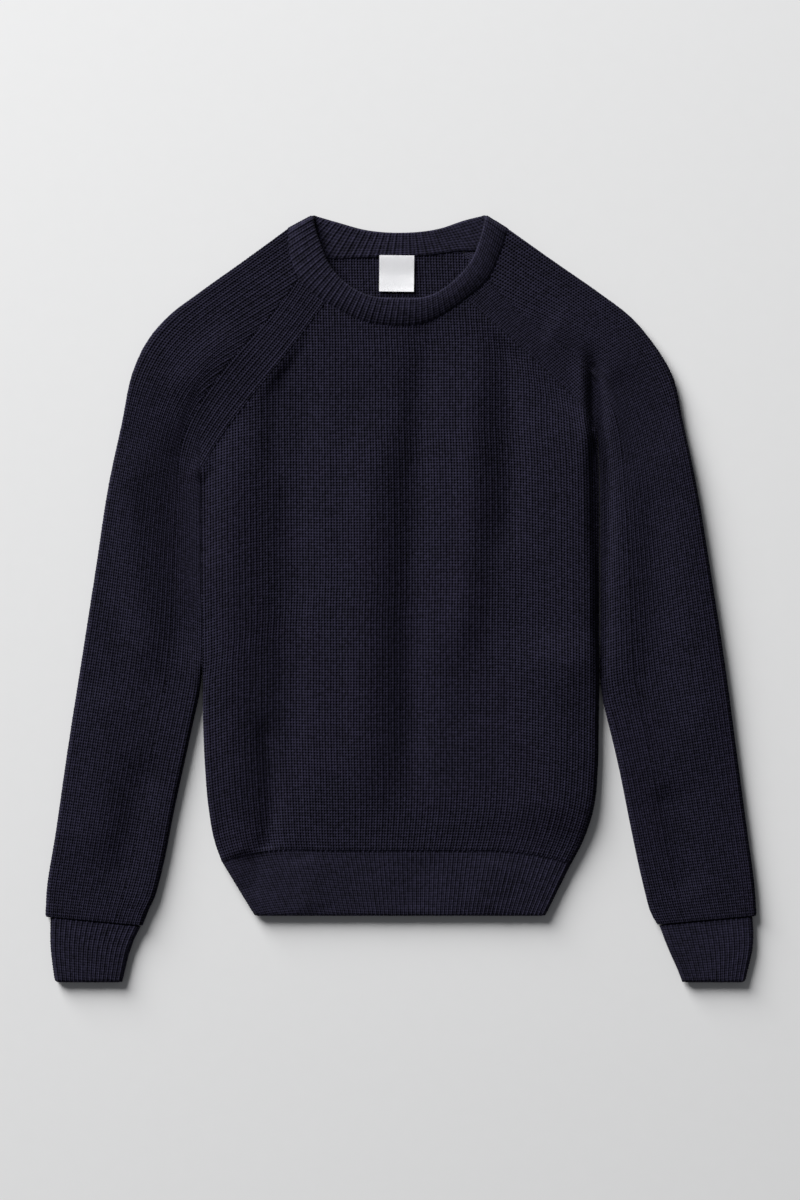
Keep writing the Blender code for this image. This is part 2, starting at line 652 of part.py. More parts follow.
def make_neckband(material):
    """A double band: its front lies on its back, folded over at both shoulders."""
    front_seam, front_edge = smooth_curve(BAND_FRONT_SEAM), smooth_curve(BAND_FRONT_EDGE)
    back_seam, back_edge = smooth_curve(BAND_BACK_SEAM), smooth_curve(BAND_BACK_EDGE)
    outward = []
    for end, hand in ((0, -1.0), (-1, 1.0)):
        along = front_edge[end] - front_seam[end]
        along /= np.linalg.norm(along)
        outward.append(np.array([along[1], -along[0]]) * hand)
    front_columns = 2 * BAND_FRONT_RIBS
    back_columns = 2 * BAND_BACK_RIBS
    front_shares = np.linspace(0.0, 1.0, front_columns + 1)
    back_shares = np.linspace(1.0, 0.0, back_columns + 1)[1:-1]
    front_relief = rib_relief(BAND_FRONT_RIBS, BAND_RELIEF)
    front_relief[[0, -1]] = 0.0
    back_relief = rib_relief(BAND_BACK_RIBS, BAND_RELIEF)[1:-1]
    edge = (BAND_RADIUS, 1.0)
    grids = []
    for along in BAND_ROWS:
        def front_place(share, along=along):
            sewn = point_at(front_seam, share)
            return sewn + along * (point_at(front_edge, share) - sewn)

        def back_place(share, along=along):
            sewn = point_at(back_seam, share)
            return sewn + along * (point_at(back_edge, share) - sewn)
        crown = BAND_CROWN * (4.0 * along * (1.0 - along) - 0.5)
        plan, lean, rise, _ = lay_row(front_place, front_shares, edge, edge, outward[0], outward[1])
        top = np.full(front_columns + 1, BAND_TOP + crown)
        front = wall_points(plan, lean, rise, top, BAND_TOP_WALL + crown, front_relief, BAND_PARTING, 0.0)
        plan, lean, rise, _ = lay_row(back_place, back_shares[::-1], edge, edge)
        fade = ease((rise - BAND_FADE_START) / (1.0 - BAND_FADE_START))
        relief = back_relief * fade - BAND_BACK_GAP
        back = wall_points(plan, lean, rise, None, BAND_BACK_WALL, relief, BAND_PARTING, 0.0, upper=False)
        grids.append([np.vstack([a, b[::-1]]) for a, b in zip(front, back)])
    outer, inner = (np.array(grid) for grid in zip(*grids))
    total = front_columns + back_columns
    front_plain = every(front_columns, 4)[:-1]
    back_all = list(range(front_columns, total + 1))
    near_folds = [k for k in range(back_columns + 1) if min(k, back_columns - k) < BAND_FOLD_COLUMNS]
    under = sorted(set(every(back_columns, 2) + near_folds))
    outer_columns = list(range(front_columns)) + [front_columns + k for k in under]
    add_wall("neckband", material, outer, inner, outer_columns, front_plain + back_all, ring=True)


def make_label(material):
    """A small bare tab on the inside of the back."""
    left, right, low, high = LABEL_BOX
    base = BACK_WALL + LABEL_LIFT
    xs, ys = np.linspace(left, right, 4), np.linspace(low, high, 4)
    outer, inner = [], []
    for y in ys:
        outer.append([(x, y, base + LABEL_WALL) for x in xs])
        inner.append([(x, y, base) for x in xs])
    add_wall("label", material, np.array(outer), np.array(inner), [0, 1, 2, 3], [0, 1, 2, 3])


def main():
    for item in list(bpy.data.objects):
        bpy.data.objects.remove(item, do_unlink=True)
    body = cloth_material("knit_body", COLOURS["body"])
    rib = cloth_material("knit_rib", COLOURS["rib"])
    label = cloth_material("label_tape", COLOURS["label"])
    make_front(body)
    make_back(body)
    make_sleeve("sleeve_left", body, LEFT)
    make_sleeve("sleeve_right", body, RIGHT)
    make_neckband(rib)
    make_hem("hem_front", rib, upper=True)
    make_hem("hem_back", rib, upper=False)
    make_cuff("cuff_left", rib, LEFT)
    make_cuff("cuff_right", rib, RIGHT)
    make_label(label)


main()
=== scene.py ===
"""Looks of the ribbed navy pullover, laid flat, built round its solid model.

Plan sizes and heights are in millimetres in the model's frame: X to the right,
Y to the neck, Z up. Left and right are as seen from above.
"""

import math
from collections import namedtuple

import bmesh
import bpy
import numpy as np
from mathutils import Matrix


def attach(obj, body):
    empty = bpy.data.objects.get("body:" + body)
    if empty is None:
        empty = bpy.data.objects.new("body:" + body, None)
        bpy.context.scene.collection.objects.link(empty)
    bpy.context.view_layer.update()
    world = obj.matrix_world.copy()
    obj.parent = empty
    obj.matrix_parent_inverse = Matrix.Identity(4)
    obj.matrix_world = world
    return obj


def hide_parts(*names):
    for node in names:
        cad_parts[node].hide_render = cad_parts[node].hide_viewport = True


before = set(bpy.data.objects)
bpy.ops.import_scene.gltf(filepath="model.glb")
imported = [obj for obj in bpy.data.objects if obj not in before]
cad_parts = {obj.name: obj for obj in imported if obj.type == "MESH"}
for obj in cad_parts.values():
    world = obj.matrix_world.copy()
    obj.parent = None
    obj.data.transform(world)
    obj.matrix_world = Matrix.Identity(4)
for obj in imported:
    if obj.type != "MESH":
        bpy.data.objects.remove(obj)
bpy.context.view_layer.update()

MM = 0.001
LEFT, RIGHT = 0, 1
rng = np.random.default_rng(7)

# Cloth walls and levels, where the upper layer lies above PARTING and the lower one
# below it, and the gaps at the seams
BACK_WALL = 3.4
BAND_TOP_WALL = 5.2
BAND_BACK_WALL = 4.8
PARTING = 3.6
BAND_PARTING = 5.7
SEAM_GAP = 0.16
SLEEVE_ROOM = 0.04
# The least an upper layer's face stands above PARTING, and how softly it comes down to it
LOWEST_TOP = 1.4
LEVEL_SOFTNESS = 0.6
# How deep the folds in the table below are drawn, and the share of their length at each end
FOLD_STRENGTH = 1.9
FOLD_TAPER = 0.2
# Distances over which folds die away towards the hem and the raglan seams
HEM_CALM = 6.0
RAGLAN_CALM = 13.0
# Levels of the neckband
BAND_TOP = 13.1
BAND_CROWN = 1.4
BAND_SEWN_DROP = 2.2
BAND_TILT = 2.2
# How round the cloth turns over an edge, and what a quarter turn takes up beyond its radius
FOLD_RADIUS = 4.8
VALLEY_RADIUS = 7.5
VALLEY_SLEEVE_RADIUS = 8.0
HEM_RADIUS = 4.2
BAND_RADIUS = 5.5
TURN_GAIN = 0.5 * math.pi - 1.0
ARMPIT_EASE = (42.0, 30.0)
# Where sleeve and body touch, left and right: how far their edges turn down,
# and the height at which they part
TOUCH_TURN = (0.07, 1.0)
TOUCH_END = (-62.0, -100.0)
TOUCH_EASE = 34.0

# Ribs across the neckband's upper and lower layer, and the height of a course of all rib knit
BAND_FRONT_RIBS = 51
BAND_BACK_RIBS = 30
HEM_COURSE = 2.6
# How uneven the stitches are: a share of their height, and millimetres
UNEVEN_SHARE = 0.18
UNEVEN_RISE = 0.05
BAND_UNEVEN_SHARE = 0.12
# Stations of two wales within this many courses make a quad
STATION_MATCH = 0.26

# Side edges of the body, armpit to hem seam: x of the edge at height y
BODY_SIDE = (
    ((-200, 127.5), (-199.4, 60), (-198.7, -5), (-198, -69.5), (-198, -106.5),
     (-196, -166.5), (-192, -211.5), (-186.5, -241.5), (-179, -262.5)),
    ((195, 172), (197.3, 135), (198, 90), (198, 38.5), (198, -41.5), (198, -96.5),
     (197.5, -126.5), (196.8, -166.5), (192, -211.5), (182, -241.5), (170, -264.5)),
)
HEM_SEAM = (
    (-179, -262.5), (-160, -256.5), (-136, -252), (-60, -251), (0, -251), (60, -251), (109, -252),
    (145, -257.5), (170, -264.5),
)
HEM_EDGE = ((-146, -316.5), (144, -316.5))
RAGLAN_FRONT = (
    ((-200, 127.5), (-181.5, 158.5), (-154, 195.5), (-114, 244.5), (-76, 294.5)),
    ((195, 172), (179, 193), (150, 221.5), (119, 250.5), (65, 297.5)),
)
RAGLAN_BACK = (
    ((-200, 127.5), (-178, 172), (-150, 215), (-112, 280), (-76, 339.5)),
    ((195, 172), (175, 204), (148, 238), (106, 290), (60, 346.5)),
)
# Neckband, left fold to right fold: its sewn edge and its free edge
BAND_FRONT_SEAM = (
    (-114, 369.5), (-111, 340.5), (-103, 319.5), (-92, 306.5), (-76, 294.5), (-56, 283.5),
    (-34, 274.5), (-4, 271), (25, 274.5), (46, 284.5), (65, 297.5), (89, 319.5), (99, 341.5),
    (108, 369),
)
BAND_FRONT_EDGE = (
    (-88, 383), (-85, 368.5), (-79.5, 352.5), (-71, 332.5), (-55, 314.5), (-36, 303.5), (-4, 299.5),
    (30, 302.5), (52, 316.5), (70, 337.5), (79, 360), (84.5, 383),
)
BAND_BACK_SEAM = (
    (-114, 369.5), (-97, 347), (-76, 339.5), (-40, 339.8), (-4, 340.5), (30, 342.5), (60, 346.5),
    (78, 347), (93, 350.5), (108, 369),
)
BAND_BACK_EDGE = (
    (-88, 383), (-64, 376), (-34, 368), (0, 365.5), (38, 369.5), (64, 378), (84.5, 383),
)
# Sleeves: outer fold from cuff seam to neckband, underarm from cuff seam to armpit
SLEEVE_FOLD = (
    ((-355, -317.5), (-353.5, -288), (-346, -241.5), (-333, -151.5), (-319, -61.5),
     (-305, 28.5), (-291, 118.5), (-278, 178.5), (-269, 223.5), (-256, 253.5),
     (-231, 283.5), (-204, 304), (-154, 340), (-114, 369.5)),
    ((355, -316.5), (353, -286.5), (347, -241.5), (335, -151.5), (323, -61.5),
     (309, 28.5), (294, 118.5), (281, 178.5), (271, 223.5), (253, 253.5),
     (227, 283.5), (202, 302.5), (150, 339), (108, 369)),
)
UNDERARM = (
    ((-258, -326.5), (-254, -314.5), (-247, -301.5), (-238.5, -271.5), (-226.5, -211.5),
     (-213.5, -151.5), (-207, -121.5), (-200.6, -91.5), (-198.6, -69.5), (-199.5, 30),
     (-200.25, 127.5)),
    ((256, -325.5), (250.5, -316.5), (242, -286.5), (229, -226.5), (217, -166.5),
     (210, -136.5), (202.5, -106.5), (199.6, -90), (199.2, -41.5), (199.1, 38.5),
     (199, 90), (198.3, 135), (195.6, 172)),
)
# Beside each raglan the sleeve's inner ribs run along the seam: the line where
# the outer ribs end, the height of the outer fold level with its foot, and the
# shares of the sleeve's and of the outer ribs that pass it and reach the neckband
FASHION_LINE = (
    ((-223, 150), (-208, 184), (-193, 206.5), (-168, 240), (-152, 258.5), (-126, 286.5),
     (-103.5, 318.5)),
    ((217, 178), (207, 205), (188, 230), (163, 250), (140, 267), (112, 289.5),
     (87, 317)),
)
FASHION_ROW = (262.0, 272.0)
OUTER_SHARE = 0.72
OUTER_NECK_SHARE = 0.46
SLEEVE_SKEW = (0.035, 0.06)
SHOULDER_ROW = (196.0, 222.0)
BACK_NECK_SHARE = 0.40
COLUMN_SOFTNESS = 34.0
# Rows of a sleeve's columns below their corner, and as many above it, how much of the way
# to the armpit a column's corner lies, and how many columns are laid out for a layer
HALF_ROWS = 60
CORNER_SHARE = 0.84
LAID_COLUMNS = 91
# Where the line of the outer ribs is joined to its lower part, below its foot, how softly,
# and the shares of the way from which it and the inner ribs are drawn to the neckband
LINE_GAP = 30.0
LINE_SOFTNESS = 16.0
LINE_PULL = (0.9, 0.1)
INNER_PULL = (0.7, 0.3)
CUFF_FOLD = (((-350, -318.4), (-350, -346.5), (-346.5, -376), (-345.5, -383)),
             ((351, -317.4), (351.5, -346.5), (345, -376), (343.5, -383)))
CUFF_UNDERARM = (((-260, -327.2), (-269, -346.5), (-276.5, -375), (-278.5, -383)),
                 ((258, -326.2), (265.5, -346.5), (278.5, -376), (281, -383)))

# Soft ridges (raised) and troughs (sunk) of each upper layer
FOLDS = {
    # upper x, y, middle x, y, lower x, y, half width, height
    "front": (
        (-158, 190, -170, 20, -166, -245, 25, 2.2),
        (-96, 268, -109, 60, -114, -250, 22, -2.8),
        (-22, 215, -33, 0, -34, -240, 26, 2.6),
        (27, 305, 11, 10, 12, -230, 17, -2.6),
        (70, 262, 71, 90, 56, -80, 18, 2.4),
        (98, 292, 109, 150, 105, 30, 16, -2.1),
        (172, 215, 182, 60, 176, -120, 38, 2.7),
        (163, -25, 158, -130, 152, -250, 46, 2.8),
        (60, -120, 75, -180, 80, -240, 26, 0.5),
        (-190, 150, -196, 90, -198, 20, 12, -1.2),
        (-92, 290, -124, 205, -126, 110, 13, -1.4),
        (-140, -110, -130, -190, -140, -290, 10, -1.7),
        (-168, -150, -160, -225, -156, -290, 15, 0.8),
    ),
    "sleeve_left": (
        (-270, 170, -269, 40, -242, -90, 20, 2.6),
        (-218, 190, -219, 50, -211, -80, 20, -3),
        (-150, 262, -190, 235, -232, 190, 22, 1.4),
        (-292, -80, -300, -170, -306, -270, 26, 1.4),
        (-250, -150, -268, -220, -282, -300, 16, -1.4),
    ),
    "sleeve_right": (
        (226, 150, 226, 20, 222, -100, 16, 0.9),
        (256, 130, 252, 0, 246, -120, 20, -0.6),
        (262, 190, 288, 40, 306, -200, 26, 1.8),
        (140, 275, 180, 255, 222, 210, 22, 1.4),
        (262, -180, 275, -240, 290, -300, 18, -1.4),
    ),
    "hem_front": (
        (-152, -240, -145, -268, -148, -300, 13, -0.8),
        (-100, -256, -94, -285, -88, -314, 18, 0.8),
        (20, -256, 18, -285, 14, -314, 20, -0.6),
        (96, -256, 88, -285, 80, -314, 20, 0.8),
    ),
}

# The deep trough between the right sleeve and the body, from above the armpit down:
# the shares of its length over which it starts and ends, and of its depth left at its end
VALLEY_LINE = (
    (189.5, 262), (192.5, 230), (195, 200), (196.5, 170), (198, 120), (198.7, 38.5), (198.7, -41.5),
    (199, -96.5),
)
VALLEY_DEPTH = 9.0
VALLEY_START = 0.28
VALLEY_END = 0.17
VALLEY_LEAST = 0.1
# Half width of its flat bottom below the armpit, the height over which that tapers off,
# the width of its walls above the armpit and below it, and the height of that change
VALLEY_FLOOR = 3.2
FLOOR_TAPER = 80.0
VALLEY_WALL = 8.5
VALLEY_BESIDE = {"front": 7.5, "sleeve_right": 8.5}
VALLEY_CHANGE = (172.0, 36.0)
# The raised lip on the body's side of its upper end, and where along it that fades
VALLEY_LIP = 3.2
LIP_OFFSET = 12.5
LIP_WIDTH = 7.5
LIP_START = 0.22
LIP_END = 0.58
LIP_FADE = 0.15

# Raised stitches along the sleeve's side of a raglan seam, from a share of its length on
BEAD_SPACING = 8.4
BEAD_CORD = 0.35
BEAD_HEIGHT = 0.75
BEAD_WIDTH = 1.5
BEAD_START = 0.06
BEAD_FADE = 0.08
# The groove along a raglan seam on the front, and how much flatter the knit is in it
GROOVE_DEPTH = 0.15
GROOVE_WIDTH = 2.4
GROOVE_CALM = 0.8

# How far the body's and the sleeves' cloth reaches over or under a seam
TUCK = 0.9
BACK_BAND_TUCK = 2.2

# What shows of the back: half its width, and the height from which its stitches are drawn
NECK_HALF_WIDTH = 84.0
NECK_LOW = 282.0

# Neckband: columns to a rib, width over its faces, and how round its edges are
BAND_PER_RIB = 6
BAND_WIDTH = 28.5
BAND_EDGE = 2.6

# Label: left, right, low and high, its thickness and its turn in degrees
LABEL_BOX = (-21.7, 13.0, 306.4, 342.4)
LABEL_CELLS = (20, 22)
LABEL_WALL = 0.7
LABEL_TURN = -0.6

# Yarn and light
NAVY_LIGHT = (0.0213, 0.0193, 0.0402)
# Dark end of the yarn's colour: near black, it is the painted shade in the holes between stitches
NAVY_DARK_AND_SHADE = (0.0004, 0.0004, 0.0008)
TAPE_COLOUR = (0.93, 0.93, 0.95)
SHEEN = 0.06
KEY_POWER = 1965.0
KEY_PLACE = (-5.14, 7.07, 3.98)
ROOM_LIGHT = 0.105

# One knit: how high its ribs and stitches stand
Knit = namedtuple("Knit", "rib hole bump")
PEARL_KNIT = Knit(rib=0.55, hole=1.7, bump=0.2)
RIB_KNIT = Knit(rib=0.7, hole=0.35, bump=0.3)

# One cloth: ribs across a layer, height of a course, walls of the upper and the lower
# layer, knit, and the air below the upper one
Cloth = namedtuple("Cloth", "ribs course wall under knit air")
BODY = Cloth(ribs=70, course=2.87, wall=3.6, under=BACK_WALL, knit=PEARL_KNIT, air=3.3)
SLEEVE = Cloth(ribs=25, course=2.95, wall=3.6, under=BACK_WALL, knit=PEARL_KNIT, air=3.3)
HEM = Cloth(ribs=75, course=HEM_COURSE, wall=3.2, under=3.2, knit=RIB_KNIT, air=2.6)
CUFF = Cloth(ribs=18, course=HEM_COURSE, wall=3.2, under=BACK_WALL, knit=RIB_KNIT, air=2.2)

# One wale line of a piece: its rib number, and along it the course numbers and
# the points of the cloth's two faces, with the stations that each face keeps
Wale = namedtuple("Wale", "u v outer inner keep_outer keep_inner")


def evenly(count):
    """Even shares from 0 to 1."""
    return np.linspace(0.0, 1.0, count)


def smooth_curve(knots, steps=14):
    """Closely spaced points on a smooth curve through the knots."""
    knots = np.array(knots, float)
    if len(knots) == 2:
        shares = evenly(steps + 1)[:, None]
        return knots[0] + shares * (knots[1] - knots[0])
    spans = np.linalg.norm(np.diff(knots, axis=0), axis=1)
    slopes = np.diff(knots, axis=0) / spans[:, None]
    tangents = np.empty_like(knots)
    before, after = spans[:-1, None], spans[1:, None]
    tangents[1:-1] = (slopes[:-1] * after + slopes[1:] * before) / (before + after)
    tangents[0] = 1.5 * slopes[0] - 0.5 * tangents[1]
    tangents[-1] = 1.5 * slopes[-1] - 0.5 * tangents[-2]
    points = []
    for i, span in enumerate(spans):
        u = np.linspace(0.0, 1.0, steps, endpoint=False)[:, None]
        points.append((2 * u**3 - 3 * u**2 + 1) * knots[i] + (u**3 - 2 * u**2 + u) * span * tangents[i]
                      + (3 * u**2 - 2 * u**3) * knots[i + 1] + (u**3 - u**2) * span * tangents[i + 1])
    points.append(knots[-1:])
    return np.vstack(points)


def lengths_along(curve):
    steps = np.linalg.norm(np.diff(curve, axis=0), axis=1)
    return np.concatenate([[0.0], np.cumsum(steps)])


def shares_along(curve):
    run = lengths_along(curve)
    return run / run[-1]


def nearest(curve, point):
    """Number of a curve's point that is nearest to a point."""
    return int(np.linalg.norm(curve - point, axis=1).argmin())


def at_places(path, run, places):
    return np.stack([np.interp(places, run, path[:, axis]) for axis in (0, 1)], axis=-1)


def point_at(curve, share):
    """The point a share of the way along a curve."""
    run = lengths_along(curve)
    return at_places(curve, run, np.asarray(share, float) * run[-1])


def moved_aside(curve, amount):
    """A curve moved to the right of its own direction."""
    run = np.gradient(curve, axis=0)
    run /= np.linalg.norm(run, axis=1)[:, None]
    return curve + amount * np.column_stack([run[:, 1], -run[:, 0]])


def softened(path, reach, amount, spacing=6.0):
    """A path with its bends rounded over a distance; its ends stay in place."""
    run = lengths_along(path)
    places = np.linspace(0.0, run[-1], max(12, int(run[-1] / spacing)))
    even = at_places(path, run, places)
    room = np.minimum(places, run[-1] - places)
    width = np.maximum(np.minimum(reach, 0.5 * room), 1e-3)[:, None]
    weights = np.exp(-0.5 * ((places[:, None] - places) / width) ** 2)
    weights /= weights.sum(axis=1)[:, None]
    return even + amount * (weights @ even - even)


def share_at_height(curve, y):
    """Share of the way along a rising curve where it passes a height."""
    return float(np.interp(y, curve[:, 1], shares_along(curve)))


def ease(value):
    value = np.clip(value, 0.0, 1.0)
    return value * value * (3.0 - 2.0 * value)


def gap_to(line, points):
    """Distance of plan points from a line, and the share of the way along it."""
    starts, steps = line[:-1], np.diff(line, axis=0)
    offset = points[..., None, :] - starts
    along = np.clip((offset * steps).sum(axis=-1) / (steps**2).sum(axis=-1), 0.0, 1.0)
    gaps = np.linalg.norm(offset - along[..., None] * steps, axis=-1)
    step = gaps.argmin(axis=-1)
    share = np.take_along_axis(along, step[..., None], axis=-1)[..., 0]
    return gaps.min(axis=-1), (step + share) / len(steps)


def fold_height(piece, points):
    """Height of the soft ridges and troughs at plan points."""
    height = np.zeros(points.shape[:-1])
    for x0, y0, x1, y1, x2, y2, half_width, rise in FOLDS[piece]:
        gap, along = gap_to(smooth_curve(((x0, y0), (x1, y1), (x2, y2)), 8), points)
        taper = ease(along / FOLD_TAPER) * ease((1.0 - along) / FOLD_TAPER)
        height += rise * taper * np.exp(-(gap / half_width) ** 2)
    return height


def valley_depth(piece, points):
    """Depth of the trough beside the right armpit, less the lip beside its upper end."""
    line = smooth_curve(VALLEY_LINE)
    gap, along = gap_to(line, points)
    top, length = VALLEY_CHANGE
    below = ease((top - points[..., 1]) / length)
    width = VALLEY_WALL + (VALLEY_BESIDE[piece] - VALLEY_WALL) * below
    beyond = np.maximum(gap - VALLEY_FLOOR * below * ease(points[..., 1] / FLOOR_TAPER), 0.0)
    lower_end = VALLEY_LEAST + (1.0 - VALLEY_LEAST) * ease((1.0 - along) / VALLEY_END)
    depth = VALLEY_DEPTH * ease(along / VALLEY_START) * lower_end * np.exp(-(beyond / width) ** 2)
    gap, along = gap_to(moved_aside(line, LIP_OFFSET), points)
    ends = ease(along / LIP_START) * ease((LIP_END - along) / LIP_FADE)
    return depth - VALLEY_LIP * ends * np.exp(-(gap / LIP_WIDTH) ** 2)


def near_seams(piece, points):
    """0 on the seams of a piece, where its folds die away, and 1 away from them."""
    seams = []
    if piece in ("front", "hem_front"):
        seams.append((smooth_curve(HEM_SEAM, 4), HEM_CALM))
    if piece != "hem_front":
        seams += [(smooth_curve(knots, 6), RAGLAN_CALM) for knots in RAGLAN_FRONT]
    share = 1.0
    for line, length in seams:
        share = share * ease(gap_to(line, points)[0] / length)
    return share


def upper_level(piece, points, cloth):
    """Height of the upper layer's outer face, clear of the layer below it."""
    height = cloth.air + cloth.wall
    if piece in FOLDS:
        height = height + FOLD_STRENGTH * fold_height(piece, points) * near_seams(piece, points)
    if piece in VALLEY_BESIDE:
        height = height - valley_depth(piece, points)
    clear = np.logaddexp(0.0, (height - LOWEST_TOP) / LEVEL_SOFTNESS) * LEVEL_SOFTNESS
    return PARTING + LOWEST_TOP + clear


def edge_turn(distance, radius, turn):
    """Plan length lost, lean and share of the height where cloth turns over an edge."""
    quarter = 0.5 * math.pi * radius
    angle = np.clip(distance, 0.0, quarter) / radius
    kept = radius * (1.0 - np.cos(angle))
    lost = turn * (np.minimum(distance, quarter) - kept)
    return lost, turn * np.cos(angle), 1.0 - turn * (1.0 - np.sin(angle))


def unit(step):
    return step / np.linalg.norm(step)


def lay_row(place, shares, near, far, near_out=None):
    """One cross row of cloth between two edges: x, y, lean x, lean y, rise.

    near and far are each edge's radius and how far it turns down, near_out the
    direction out of the near edge where it isn't the row's own.
    """
    samples = place(evenly(65))
    width = lengths_along(samples)[-1]
    length = width + sum(turn * TURN_GAIN * radius for radius, turn in (near, far))
    distance = np.asarray(shares) * length
    near_lost, near_lean, near_rise = edge_turn(distance, *near)
    far_lost, far_lean, far_rise = edge_turn(length - distance, *far)
    far_total = far[1] * TURN_GAIN * far[0]
    plan = place(np.clip((distance - near_lost - far_total + far_lost) / width, 0.0, 1.0))
    if near_out is None:
        near_out = unit(samples[0] - samples[1])
    lean = near_lean[:, None] * near_out + far_lean[:, None] * unit(samples[-1] - samples[-2])
    return np.column_stack([plan, lean, near_rise * far_rise])


def edge_free(point, side):
    """0 where sleeve and body touch, 1 below the height at which they part."""
    return float(ease((TOUCH_END[side] - point[1]) / TOUCH_EASE))


def armpit_turn(point, side):
    """How far the edge turns down: 0 at the armpit, 1 where it is free."""
    armpit = np.array(BODY_SIDE[side][0])
    away = float(ease(np.linalg.norm(point - armpit) / ARMPIT_EASE[side]))
    return away * (TOUCH_TURN[side] + (1.0 - TOUCH_TURN[side]) * edge_free(point, side))


def knit_relief(u, v, knit):
    """Height of the knit's face at rib u and course v."""
    wale = -np.cos(2.0 * math.pi * u)
    between = 0.5 - 0.5 * np.cos(4.0 * math.pi * u)
    course = np.cos(2.0 * math.pi * v)
    relief = 0.5 * knit.rib * wale
    relief = relief - knit.hole * between * (0.5 + 0.5 * course)
    return relief + knit.bump * (1.0 - between) * course


def run_stations(grid, course):
    """Fine stations up each column of a base grid, two to a course.

    Returns for each column its course numbers and the grid's values there; the
    last station is the column's end.
    """
    columns = []
    for j in range(grid.shape[1]):
        run = lengths_along(grid[:, j, :2])
        half = 0.5 * course[j]
        places = half * np.arange(int(run[-1] / half) + 1)
        if run[-1] - places[-1] < 0.35 * half:
            places[-1] = run[-1]
        else:
            places = np.append(places, run[-1])
        values = np.column_stack([np.interp(places, run, grid[:, j, f]) for f in range(grid.shape[2])])
        columns.append((places / course[j], values))
    return columns


def end_drop(columns, course, rounding):
    """How far the face drops where its first and last courses are rounded: a length and a depth each."""
    drops = []
    for (v, _), height in zip(columns, course):
        drop = 0.0
        for gap, (length, depth) in ((v, rounding[0]), (v[-1] - v, rounding[1])):
            inside = np.clip(1.0 - gap * height / length, 0.0, 1.0)
            drop = drop + depth * (1.0 - np.sqrt(1.0 - inside**2))
        drops.append(drop)
    return np.concatenate(drops)


def cloth_faces(values, top, wall, relief, parting, slit, upper):
    """Outer and inner face points of a wall at its stations."""
    plan, lean, rise = values[:, :2], values[:, 2:4], values[:, 4]
    steep = np.sqrt(np.clip(1.0 - (lean**2).sum(axis=1), 0.0, 1.0))
    if upper:
        floor = parting + slit * (1.0 - rise)
        z = floor + (top - floor) * rise
        outer = np.column_stack([plan + lean * relief[:, None], z + steep * relief])
        inner_z = np.maximum(z - wall * steep, floor)
    else:
        ceiling = parting - slit * (1.0 - rise)
        z = ceiling * (1.0 - rise)
        outer = np.column_stack([plan, z])
        inner_z = np.minimum(z + wall * steep, ceiling) + steep * relief
    inner = np.column_stack([plan - lean * wall, inner_z])
    return outer, inner


def every_one(number, values, last):
    """Keeps all stations of a column."""
    return range(len(values))


def knit_layer(piece, grid, u, cloth, upper=True, slit=0.25, outer_keep=every_one,
               inner_keep=every_one, groove=None, rounding=((0.8, 0.8), (0.5, 0.5))):
    """The wales of one layer of cloth.

    outer_keep and inner_keep say, from a column's number and values and whether it
    is the last, which of its stations each face keeps. groove gives, for plan points near seams, how far
    the face drops and the share of the relief that stays.
    """
    course = np.broadcast_to(cloth.course, len(u))
    columns = run_stations(grid, course)
    values = np.vstack([column[1] for column in columns])
    v = np.concatenate([column[0] for column in columns])
    number = np.repeat(np.arange(len(columns)), [len(column[0]) for column in columns])
    relief = knit_relief(u[number], v, cloth.knit)
    uneven = (number > 0) & (number < len(columns) - 1)
    relief = relief * (1.0 + UNEVEN_SHARE * uneven * rng.standard_normal(len(v)))
    relief = relief + UNEVEN_RISE * uneven * rng.standard_normal(len(v))
    drop = end_drop(columns, course, rounding)
    if groove is not None:
        deeper, calm = groove(values[:, :2])
        drop = drop + deeper
        relief = relief * calm
    top = upper_level(piece, values[:, :2], cloth) if upper else None
    wall = cloth.wall if upper else cloth.under
    outer, inner = cloth_faces(values, top, wall, relief - drop, PARTING, slit, upper)
    wales = []
    start = 0
    for j, (v_column, column) in enumerate(columns):
        faces = [face[start:start + len(v_column)] for face in (outer, inner)]
        last = j == len(columns) - 1
        kept = [np.array(keep(j, column, last), int) for keep in (outer_keep, inner_keep)]
        wales.append(Wale(u[j], v_column, *faces, *kept))
        start += len(v_column)
    return wales


def coarse(column_step, station_step):
    """Keeps every so many columns and stations, with the last ones."""
    def keep(number, values, last):
        if number % column_step and not last:
            return []
        picked = list(range(0, len(values) - station_step // 2, station_step))
        return picked + [len(values) - 1]
    return keep


def stitch(keys_a, ids_a, keys_b, ids_b):
    """Triangles between two chains of vertices, by their places along them."""
    faces = []
    a = b = 0
    last_a, last_b = len(ids_a) - 1, len(ids_b) - 1
    while a < last_a or b < last_b:
        if a < last_a and (b == last_b or keys_a[a + 1] <= keys_b[b + 1]):
            faces.append((ids_a[a], ids_a[a + 1], ids_b[b]))
            a += 1
        else:
            faces.append((ids_a[a], ids_b[b + 1], ids_b[b]))
            b += 1
    return faces


def strip(keys_a, ids_a, keys_b, ids_b):
    """Faces between two neighbouring wales: quads while their stations agree."""
    shared = min(len(keys_a), len(keys_b))
    differ = np.flatnonzero(np.abs(keys_a[:shared] - keys_b[:shared]) > STATION_MATCH)
    same = int(differ[0]) if len(differ) else shared
    if same < 2:
        return stitch(keys_a, ids_a, keys_b, ids_b)
    quads = np.column_stack([ids_a[:same - 1], ids_b[:same - 1], ids_b[1:same], ids_a[1:same]])
    rest = stitch(keys_a[same - 1:], ids_a[same - 1:], keys_b[same - 1:], ids_b[same - 1:])
    return [tuple(q) for q in quads.tolist()] + rest


